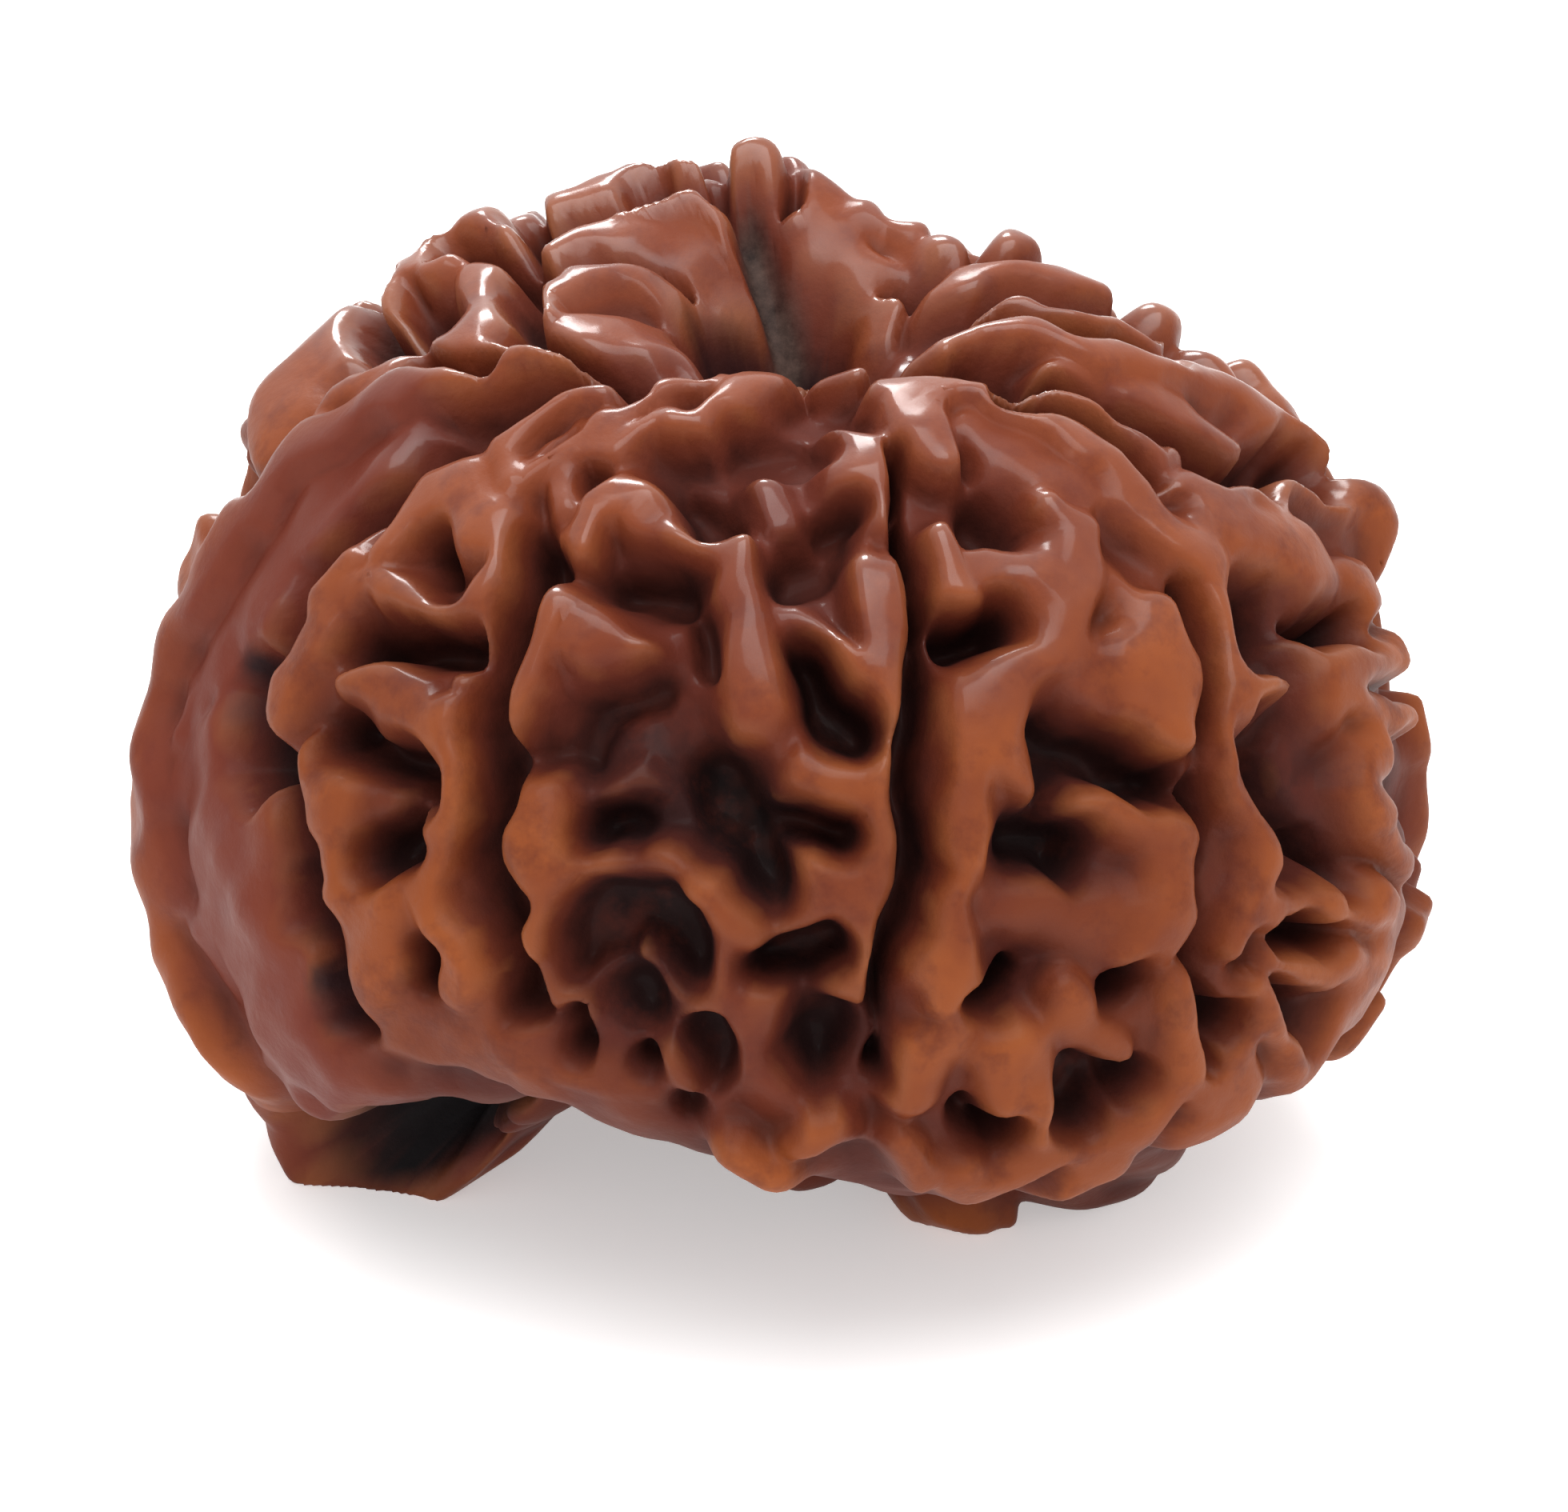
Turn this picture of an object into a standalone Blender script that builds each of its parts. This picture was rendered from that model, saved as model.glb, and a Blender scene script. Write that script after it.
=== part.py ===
"""Rudraksha bead: the dried stone of one fruit, grown as a single piece.

The surface is star-shaped about a centre on the widest ring. In each direction its distance from that
centre is a smooth body plus a relief. The body is two half superellipsoids, taller above than below,
with soft swellings and a pit at the crown. The relief starts as a low floor. Every ridge is a line on
the body that lifts the floor to its own level near it, and every pit or groove is a line that sinks it.
The front is drawn line by line, as seen by somebody who looks down on the bead by VIEW_TILT. The hidden
side follows a rule: two lips along each groove, bars between them, knobs and pits.
"""
import bmesh
import bpy
import numpy as np

MM = 0.001

# Smooth body, in metres, and the level that it stands on.
HALF_WIDTH = 0.0131
RISE = 0.0122
DROP = 0.0076
ROUND_ABOVE = 2.0
ROUND_BELOW = 2.5
STAND = 0.0075

# Relief, in metres: level of the floor, how much lower it is at the crown, and how far the floor, the
# lines and the finished surface wander. Then the share by which line widths vary, coarsely and finely.
FLOOR = -0.0009
CROWN_FLOOR = -0.0002
FLOOR_SWAY = 0.0002
LINE_SWAY = 0.00013
FINE_SWAY = 0.00006
WIDTH_SWAY = 0.2
KNOT_SWAY = 0.13

# Where the front was drawn from: degrees, metres, and the point looked at, right and up of the centre.
VIEW_TILT = 25
VIEW_DISTANCE = 0.120
VIEW_AIM = (-0.000167, 0.000917)

# Grooves between segments, degrees round the bead: 0 faces the viewer, positive to the viewer's right.
SEAMS = (-77, -52, -28, 10.5, 41, 72, 101, 130, 160, 189, 218, 247, 283)

# Worn low points that it stands on, one behind the hook at the left. Rows here and for the hook have a
# half width and a level in mm, then points in degrees round the bead and from the crown.
FEET = (
    (0.75, 0.5, [(-75, 131), (-71, 134)]),
    (1.2, 0.3, [(38, 146), (52, 147)]),
    (1.2, 0.5, [(-150, 139)]),
    (1.2, 0.5, [(140, 139)]),
)
# Hook at the foot of the left lip: its thin edge, and the hole that it curls round.
HOOK_LIP = (0.4, 0.35, [(-82, 114), (-78, 121), (-74, 127), (-70, 130.5), (-66, 133), (-65, 137)])
HOOK_HOLE = (1.1, -4.2, [(-46, 111), (-54, 117), (-62, 122), (-66, 125)])

# How a line pulls the relief: the distance in half widths at which half of its pull is left, the power
# of the fall beyond that, and how much rounder than flat the top of a ridge is.
RIDGE_REACH, RIDGE_STEEP = 1.15, 5.5
HOLLOW_REACH, HOLLOW_STEEP = 1.2, 5.5
TOP_ROUND = 0.12

# Lines drawn on a slant: they get wider by this power of the cosine to the viewer, up to a limit.
DRAWN_WIDER = 1.1
SLANT_POWER = -0.35
SLANT_LIMIT = 1.3

# The hidden side starts where the cosine to the viewer falls below these: at the back, on the low right
# flank that the viewer sees on a slant, and for ridges under the front, where they would show below it.
# Behind the lobes at the back of the crown everything is hidden.
HIDDEN_FROM = -0.08
HIDDEN_FLANK = 0.25
HIDDEN_BENEATH = -0.6
FLANK_TURN, FLANK_FALL = 58, 94
FRONT_TURN, BENEATH_FALL = 76, 112
BACK_TURN, BACK_FALL = 128, 33
RIDGES_ABOVE = -1.0

# Rule for the hidden side: sizes in mm, steps in degrees from the crown, each with its random share.
LIP_INSET, LIP_INSET_VARIES, LIP_INSET_LEAST = 0.75, 0.22, 0.5
LIP_WIDTH, LIP_WIDTH_VARIES = 0.47, 0.09
LIP_WIDTH_LIMITS = (0.28, 0.6)
SEAM_WIDTH, SEAM_LEVEL = 0.2, -1.5
BAR_REACH = (0.35, 0.8)
BAR_BEND, BAR_RAGGED = 9, 0.8
BAR_ROOT, BAR_TIP, BAR_WIDTH_VARIES = 0.36, 0.5, 0.1
BAR_WIDTH_LIMITS = (0.25, 0.75)
BAR_STEP = (8, 12.5)
KNOB_CHANCE, KNOB_APART = 0.5, 5
KNOB_PLACE, KNOB_WIDTH, KNOB_LEVEL = (0.55, 1.0), (0.45, 0.7), -0.15
PIT_ASIDE, PIT_WIDTH, PIT_LEVEL = 0.2, (0.4, 0.6), (-2.2, -1.7)
SIDE_SWAP_CHANCE = 0.8

# Mesh: segments of the sphere it starts from, and triangles it ends with.
ROUND = 480
RINGS = 200
TRIANGLES = 11600

# Swellings and dents of the body: degrees round, degrees from the crown, reach in degrees, height in mm.
SWELLINGS = (
    (180, 22, 15, 1.4),    # lobes behind the crown pit
    (-172, 20, 8, 0.7),
    (0, 14, 14, -0.6),     # near rim of the crown pit
    (0, 0, 13, -3.6),      # crown pit
    (-115, 42, 15, 1.1),   # left shoulder
    (-140, 30, 12, 0.5),
    (-100, 58, 10, 1.0),
    (165, 27, 12, -1.2),
    (-90, 95, 25, 0.3),
    (-25, 116, 15, -4.2),  # arch at the front
    (-44, 133, 9, -1.8),
    (0, 120, 13, -2.2),
    (-36, 143, 13, -1.9),
    (-74, 146, 12, -1.6),
    (-71, 131, 9, 2.0),    # left foot
    (30, 123, 14, -1.3),
    (66, 118, 13, -0.9),
    (46, 143, 12, 0.5),    # right foot
    (-150, 138, 13, 0.8),  # hind feet
    (140, 138, 13, 0.7),
    (95, 62, 9, 0.5),      # right shoulder
    (84, 98, 20, 0.55),    # right flank
    (58, 126, 13, 0.75),
    (-78, 124, 8, 1.0),
    (-99, 61, 4, -1.4),    # notch behind the left lobe
    (-66, 140, 6, -0.7),
    (8, 128, 9, -0.5),
    (82, 104, 9, -0.7),
    (62, 133, 11, 0.95),
    (0, 180, 22, -0.8),    # hollow underneath
)

# Lines drawn on the front, in mm right of the axis and above the widest ring.
# Each has its half widths, its level against the body and its points.
RIDGES = [
    # great lip of the left cleft
    ((0.3, 0.35, 0.4, 0.45, 0.5), 0.5,
     [(-4.6, 9.2), (-7, 8.75), (-9, 7.9), (-10.5, 6.7), (-11.5, 5.2)]),
    ((0.5, 0.55, 0.6, 0.6), 0.5, [(-11.5, 5.2), (-12.5, 3.6), (-13.2, 1.2), (-13.3, 0)]),
    ((0.7, 0.7, 0.7, 0.7, 0.7), 0.4,
     [(-13.3, 0), (-13.2, -1.5), (-12.7, -3.7), (-11.7, -5.6), (-10.6, -6.9)]),
    ((0.7, 0.7, 0.5, 0.35), 0.5, [(-10.6, -6.9), (-9.6, -7.7), (-8.3, -8.1), (-6.8, -7.9)]),
    ((1.0, 1.3, 1.6, 1.7, 1.7, 1.6, 1.5, 1.3, 1.1), -0.15,
     [(-9.0, 7.1), (-10.6, 5.4), (-11.8, 3.2), (-12.3, 1.2), (-12.2, -0.8), (-11.7, -2.8),
      (-11.0, -4.4), (-10.4, -5.8), (-9.8, -6.8)]),
    # segment left of centre
    ((0.3, 0.35, 0.45, 0.55, 0.4), 0.05,
     [(-9.3, 5.0), (-9.85, 4.4), (-10.1, 3.5), (-10.5, 2.7), (-11.0, 2.1)]),
    ((0.4, 0.6, 0.8, 0.7, 0.45), 0.1,
     [(-8.5, 5.3), (-8.1, 6.1), (-7.2, 6.3), (-6.5, 5.9), (-5.9, 5.5)]),
    ((0.3, 0.3, 0.3), 0.0, [(-9.4, 4.45), (-8.4, 4.35), (-7.35, 4.05)]),
    ((0.4, 0.6, 0.6), 0.2, [(-5.7, 5.0), (-6.15, 4.4), (-6.4, 3.9)]),
    ((0.45, 0.6, 0.6, 0.5), -0.05, [(-9.3, 2.6), (-8.7, 2.5), (-8.2, 1.9), (-7.7, 1.3)]),
    ((0.3,), -0.1, [(-6.85, 2.6)]),
    ((0.45, 0.55, 0.5, 0.45, 0.35, 0.35, 0.4, 0.4), 0.1,
     [(-7.15, 1.8), (-7.0, 0.9), (-7.15, -0.2), (-7.65, -1.1), (-7.8, -1.7), (-7.6, -2.3),
      (-7.3, -2.9), (-7.15, -4.0)]),
    ((0.4, 0.7, 0.6), 0.0, [(-10.3, 1.0), (-9.9, 0.2), (-9.8, -0.8)]),
    ((0.3, 0.3), -0.5, [(-9.2, -0.2), (-7.9, -0.3)]),
    ((0.5, 0.9, 0.9, 0.6), -0.05, [(-9.7, -1.9), (-9.0, -2.6), (-8.8, -3.3), (-8.9, -4.0)]),
    ((0.7, 1.0, 0.8), -0.4, [(-9.0, -4.7), (-8.1, -5.0), (-7.0, -5.1)]),
    ((0.3, 0.3, 0.4), -0.3, [(-6.4, -4.4), (-5.9, -5.2), (-5.5, -6.2)]),
    # centre segment
    ((0.35, 0.45, 0.5, 0.5, 0.5, 0.6, 0.7, 0.7, 0.55, 0.45), 0.1,
     [(-4.6, 4.8), (-5.0, 4.2), (-5.35, 3.2), (-5.6, 2.2), (-5.7, 1.2), (-5.6, 0.2), (-5.5, -0.6),
      (-5.4, -1.4), (-5.35, -2.2), (-5.5, -3.0)]),
    ((0.6, 0.65, 0.5), -0.05, [(-4.9, 3.6), (-4.2, 3.35), (-3.5, 3.2)]),
    ((0.3, 0.45, 0.5, 0.45, 0.35, 0.3, 0.25), 0.1,
     [(-4.5, 5.2), (-4.15, 6.1), (-3.55, 6.35), (-3.0, 6.1), (-2.5, 5.8), (-1.9, 5.6), (-1.4, 5.4)]),
    ((0.25, 0.35, 0.5, 0.65, 0.7, 0.5), 0.1,
     [(-1.1, 5.4), (-1.05, 4.8), (-1.05, 3.8), (-1.0, 2.9), (-0.95, 2.1), (-0.9, 1.4)]),
    ((0.3, 0.5, 0.45), -0.35, [(-0.5, 4.2), (0.2, 3.7), (0.9, 3.4)]),
    ((0.35, 0.5, 0.6, 0.55, 0.45, 0.4, 0.45, 0.45, 0.45), 0.1,
     [(1.5, 5.8), (1.65, 5.0), (1.8, 4.2), (1.9, 3.0), (2.0, 2.2), (2.05, 1.3), (1.95, 0.4),
      (1.9, -0.6), (1.9, -1.6)]),
    ((0.4, 0.35), 0.15, [(1.0, 3.1), (1.5, 2.9)]),
    ((0.35, 0.45, 0.5), 0.0, [(0.25, 0.7), (0.95, 0.4), (1.7, 0.1)]),
    ((0.3, 0.3, 0.25), -0.75, [(-5.0, 0.2), (-4.2, 0.35), (-3.6, 0.1)]),
    ((0.45, 0.5, 0.45, 0.4, 0.35), -0.2,
     [(-4.9, -1.35), (-3.9, -1.4), (-2.8, -1.4), (-2.1, -1.9), (-1.5, -2.4)]),
    ((0.3, 0.35), -0.5, [(-3.3, -3.55), (-2.5, -4.0)]),
    ((0.5, 0.8, 0.75, 0.55), 0.0, [(0.2, -1.4), (0.9, -1.9), (1.5, -2.2), (1.6, -2.8)]),
    ((0.4, 0.45, 0.4), -0.1, [(-1.8, -2.2), (-1.4, -2.7), (-0.5, -2.9)]),
    ((0.45, 0.45, 0.5), -0.3, [(-1.6, -3.2), (-1.6, -4.3), (-1.9, -5.2)]),
    ((0.3, 0.4), 0.0, [(1.5, -3.4), (1.35, -4.1)]),
    ((0.35, 0.4, 0.4), -0.3, [(-0.6, -4.5), (-0.7, -5.2), (-1.5, -5.7)]),
    ((0.5,), -0.1, [(0.55, -6.9)]),
    ((0.4, 0.45), 0.3, [(-1.2, -7.4), (-0.4, -7.9)]),
    ((0.35, 0.4), 0.1, [(0.5, -6.8), (0.2, -7.3)]),
    ((0.4, 0.4, 0.3, 0.35), -0.4, [(-5.3, -3.4), (-5.2, -4.2), (-4.7, -4.8), (-4.9, -5.6)]),
    ((0.45, 0.5, 0.5, 0.4), -0.4, [(-5.2, -5.8), (-4, -6.1), (-3, -6.2), (-2, -6)]),
    # above the centre segment
    ((0.25, 0.3, 0.3, 0.35, 0.35), 0.1,
     [(-4.0, 8.6), (-4.8, 8.35), (-5.4, 8.0), (-5.95, 7.5), (-5.8, 6.9)]),
    ((0.2, 0.2), -0.2, [(-5.3, 7.5), (-4.6, 8.0)]),
    ((0.35, 0.35, 0.3, 0.3, 0.3), 0.0,
     [(-5.7, 7.0), (-4.6, 7.25), (-3.8, 7.4), (-3.3, 7.8), (-2.7, 8.1)]),
    ((0.25, 0.25, 0.25, 0.25), 0.0, [(-3.65, 8.1), (-3.2, 8.4), (-2.3, 8.7), (-1.5, 8.85)]),
    ((0.35, 0.4, 0.4, 0.4, 0.4, 0.35), 0.2,
     [(-2.1, 7.9), (-1.3, 8.3), (-0.6, 8.7), (0.1, 8.95), (0.7, 9.05), (1.1, 8.8)]),
    ((0.3, 0.3), -0.1, [(-4.8, 6.8), (-4.95, 6.2)]),
    ((0.6, 0.65, 0.55), -0.1, [(1.35, 7.5), (1.4, 7.0), (1.5, 6.4)]),
    ((0.35, 0.4, 0.4, 0.4), 0.2, [(1.8, 8.6), (2.3, 8.6), (2.6, 8.0), (3.1, 7.3)]),
    ((0.4, 0.4), -0.6, [(-0.6, 6.9), (-0.3, 6.2)]),
    # segment right of centre
    ((0.35, 0.45, 0.45), 0.15, [(3.2, 5.8), (3.5, 5.0), (3.6, 4.4)]),
    ((0.4, 0.35, 0.3), 0.0, [(5.0, 4.8), (4.4, 4.9), (3.9, 5.0)]),
    ((0.4, 0.55, 0.6, 0.55, 0.6, 0.7, 0.7, 0.65, 0.5, 0.4), 0.1,
     [(5.6, 6.2), (6.1, 5.7), (5.9, 4.9), (5.8, 4.1), (5.4, 3.1), (4.6, 2.5), (4.0, 1.7), (3.9, 0.6),
      (3.7, -0.5), (3.5, -1.2)]),
    ((0.6, 0.8, 0.85, 0.6), 0.15, [(7.5, 3.7), (7.6, 3.0), (7.8, 2.2), (8.0, 1.5)]),
    ((0.6,), -0.3, [(6.5, 2.7)]),
    ((0.4, 0.45, 0.5, 0.6, 0.55, 0.6, 0.65, 0.5), 0.05,
     [(4.8, 0.9), (5.6, 0.4), (6.7, -0.1), (7.8, -0.3), (8.3, -0.9), (8.2, -1.8), (7.8, -2.7),
      (7.4, -3.4)]),
    ((0.6, 0.7, 0.7), -0.45, [(4.7, -2.2), (5.7, -2.4), (6.7, -2.6)]),
    ((0.35, 0.55, 0.7, 0.45), 0.1, [(3.2, -2.2), (3.4, -3.0), (3.4, -3.7), (3.2, -4.3)]),
    ((0.4, 0.45, 0.5), 0.0, [(3.5, -4.9), (2.8, -5.4), (2.5, -6.3)]),
    ((0.55, 0.75, 0.65), 0.05, [(4.6, -5.4), (5.0, -6.1), (5.3, -6.8)]),
    ((0.35, 0.4, 0.35), -0.2, [(5.9, -4.1), (6.4, -4.8), (7.1, -5.4)]),
    ((0.5, 0.55, 0.45), 0.05, [(8.3, -4.0), (8.5, -4.8), (8.4, -5.8)]),
    ((0.35, 0.4, 0.35), -0.2, [(6.8, -6.6), (6.9, -7.2), (6.3, -7.7)]),
    ((0.4, 0.45, 0.5), -0.1, [(5.7, -7.6), (4.9, -7.9), (3.9, -8.2)]),
    ((0.4, 0.45), 0.0, [(2.3, -7.4), (2.7, -8.0)]),
    ((0.4, 0.45), -0.1, [(7.9, -6.6), (7.4, -7.3)]),
    ((0.45, 0.5), -0.1, [(9.6, -5.4), (8.8, -6.2)]),
    ((0.5, 0.55), 0.0, [(11.6, -4.6), (10.9, -5.6)]),
    ((0.5, 0.5), 0.0, [(12.6, -2.6), (12.2, -3.9)]),
    ((0.4, 0.4), 0.0, [(6.6, -7.9), (5.6, -8.3)]),
    ((0.4, 0.45), 0.0, [(9.3, -6.6), (8.4, -7.1)]),
    # right edge segment
    ((0.3, 0.35, 0.4, 0.4, 0.45, 0.5, 0.45, 0.4), 0.1,
     [(9.05, 4.2), (9.35, 3.4), (9.5, 2.0), (9.5, 0.6), (9.8, -0.5), (10.0, -1.3), (9.7, -2.3),
      (9.4, -3.1)]),
    ((0.3, 0.4, 0.4, 0.35), 0.15, [(9.6, 2.3), (10.6, 2.6), (11.7, 2.9), (12.7, 3.0)]),
    ((0.3, 0.3, 0.3), 0.1, [(11.5, 2.3), (12.2, 2.0), (12.9, 1.7)]),
    ((0.35, 0.45, 0.35), 0.2, [(12.3, 0.9), (12.0, 0.3), (12.4, -0.4)]),
    ((0.3, 0.35), 0.1, [(12.5, -0.9), (12.9, -1.4)]),
    ((0.4, 0.45, 0.4, 0.35), 0.15, [(9.8, -2.2), (10.7, -2.4), (11.6, -2.2), (12.5, -2.1)]),
    ((0.35, 0.4, 0.35), 0.1, [(10.2, -3.4), (11.1, -3.7), (12.2, -3.4)]),
    ((0.3, 0.35), 0.0, [(11.7, 4.7), (12.3, 4.1)]),
    ((0.25, 0.25, 0.25), 0.1, [(9.7, -4.0), (10.2, -4.8), (10.7, -5.4)]),
    ((0.5, 0.5), -0.1, [(9.5, -6.0), (8.9, -6.7)]),
    # upper right
    ((0.4, 0.4, 0.45, 0.45, 0.45, 0.4), 0.2,
     [(2.9, 8.5), (3.9, 8.55), (4.8, 8.2), (5.7, 7.8), (6.6, 7.2), (7.2, 6.5)]),
    ((0.5, 0.6, 0.5), -0.15, [(3.9, 7.9), (4.9, 7.4), (6.0, 6.8)]),
    ((0.25, 0.25, 0.25, 0.25, 0.25), 0.15,
     [(4.5, 8.65), (5.2, 8.7), (6.0, 8.4), (6.8, 8.0), (7.6, 7.55)]),
    ((0.25, 0.25), 0.0, [(7.3, 7.75), (8.3, 7.4)]),
    ((0.25, 0.25, 0.2), 0.0, [(7.8, 6.9), (8.5, 6.7), (8.9, 6.45)]),
    ((0.6, 0.7, 0.55), 0.1, [(7.7, 5.8), (8.2, 5.5), (8.6, 5.1)]),
    ((0.25, 0.3, 0.3, 0.3), 0.1, [(9.1, 6.2), (9.9, 6.55), (10.8, 6.5), (11.7, 6.4)]),
    ((0.6, 0.8, 0.6), 0.1, [(9.6, 5.5), (10.3, 5.3), (11.0, 5.0)]),
    ((0.5,), 0.5, [(12.1, 6.0)]),
    ((0.5,), 0.1, [(12.0, 4.3)]),
    ((0.3, 0.3, 0.35, 0.35, 0.4, 0.4, 0.4, 0.45, 0.4), 0.35,
     [(3.2, 9.4), (3.9, 9.65), (4.7, 9.75), (5.4, 9.6), (6.3, 9.2), (7.3, 9.0), (8.4, 8.85),
      (9.5, 8.2), (11.0, 7.2)]),
    ((0.5, 0.6, 0.7, 0.6), 0.0, [(5.6, 9.1), (6.8, 8.6), (8.2, 8.0), (9.4, 7.4)]),
    ((0.45,), 0.25, [(8.9, 8.9)]),
    ((0.5,), 0.2, [(10.5, 7.9)]),
    ((0.2, 0.25), 0.0, [(3.2, 9.0), (4.4, 9.15)]),
    ((0.2, 0.25, 0.25, 0.3), 0.2, [(4.1, 10.3), (5.4, 10.1), (6.5, 9.8), (7.6, 9.6)]),
    ((0.3, 0.3, 0.35, 0.35), 0.2, [(2.9, 10.6), (4.0, 11.0), (5.2, 10.95), (6.4, 10.6)]),
    ((0.4,), 0.5, [(4.7, 11.4)]),
    ((0.45,), 0.4, [(7.6, 10.0)]),
    ((0.4,), 0.3, [(3.0, 11.4)]),
    ((0.35,), 0.4, [(9.5, 8.6)]),
    # far lobes
    ((0.3, 0.35, 0.45, 0.5, 0.45, 0.4, 0.35), 0.25,
     [(-3.4, 12.0), (-2.9, 12.3), (-2.45, 12.5), (-2.0, 12.6), (-1.6, 12.4), (-1.25, 12.0),
      (-1.05, 11.4)]),
    ((0.9, 1.1, 0.9), -0.05, [(-2.2, 11.7), (-1.9, 11.0), (-1.5, 10.4)]),
    ((0.4, 0.45, 0.45), 0.15, [(-5.0, 11.5), (-4.3, 11.75), (-3.5, 11.75)]),
    ((0.4, 0.45, 0.45, 0.4, 0.4), 0.3,
     [(-5.3, 10.1), (-5.1, 10.6), (-4.4, 10.8), (-3.6, 10.8), (-2.7, 10.5)]),
    ((0.6, 0.8, 0.7), 0.0, [(-4.7, 10.0), (-3.7, 9.9), (-2.8, 9.6)]),
    ((0.25, 0.25, 0.25, 0.25), 0.15, [(-8.1, 9.1), (-7.6, 9.4), (-7.0, 9.45), (-6.0, 9.35)]),
    ((0.25, 0.25, 0.25, 0.25), 0.1, [(-5.9, 9.05), (-5.35, 9.4), (-4.9, 9.45), (-4.2, 9.2)]),
    ((0.7, 0.7), 0.15, [(-6.35, 10.9), (-6.35, 9.9)]),
    ((0.3, 0.3, 0.3, 0.35, 0.35), 0.2,
     [(-8.7, 9.8), (-8.5, 10.3), (-8.3, 10.9), (-7.7, 11.2), (-7.2, 11.1)]),
    ((0.6, 0.9, 1.0, 0.9, 0.6), 0.2,
     [(-9.3, 10.0), (-9.9, 9.4), (-10.3, 8.8), (-10.5, 8.2), (-10.6, 7.6)]),
    ((0.4, 0.4), 0.35, [(-9.3, 8.35), (-8.6, 8.6)]),
    ((0.5, 0.5), 0.4, [(-12.0, 5.4), (-12.4, 4.6)]),
    ((0.7,), 0.5, [(-6.2, 11.9)]),
    ((0.5, 0.5), 0.3, [(-5.0, 12.3), (-4.4, 12.45)]),
    ((0.35, 0.35, 0.35), 0.3, [(-3.9, 12.7), (-3.4, 12.95), (-2.8, 12.95)]),
    ((0.3, 0.3), 0.35, [(-2.6, 13.0), (-2.0, 13.15)]),
    ((0.35, 0.4, 0.35), 0.35, [(-1.4, 13.2), (-0.9, 13.3), (-0.3, 13.2)]),
    ((0.35, 0.4, 0.4, 0.4), 0.1, [(0.2, 12.9), (0.6, 12.9), (1.0, 12.6), (1.5, 12.2)]),
    ((0.6, 0.8, 0.8, 0.7), 0.1, [(0.6, 12.2), (1.1, 11.5), (1.6, 10.8), (1.7, 10.1)]),
    ((0.35, 0.35), 0.3, [(1.9, 12.0), (2.6, 11.8)]),
]

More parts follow.
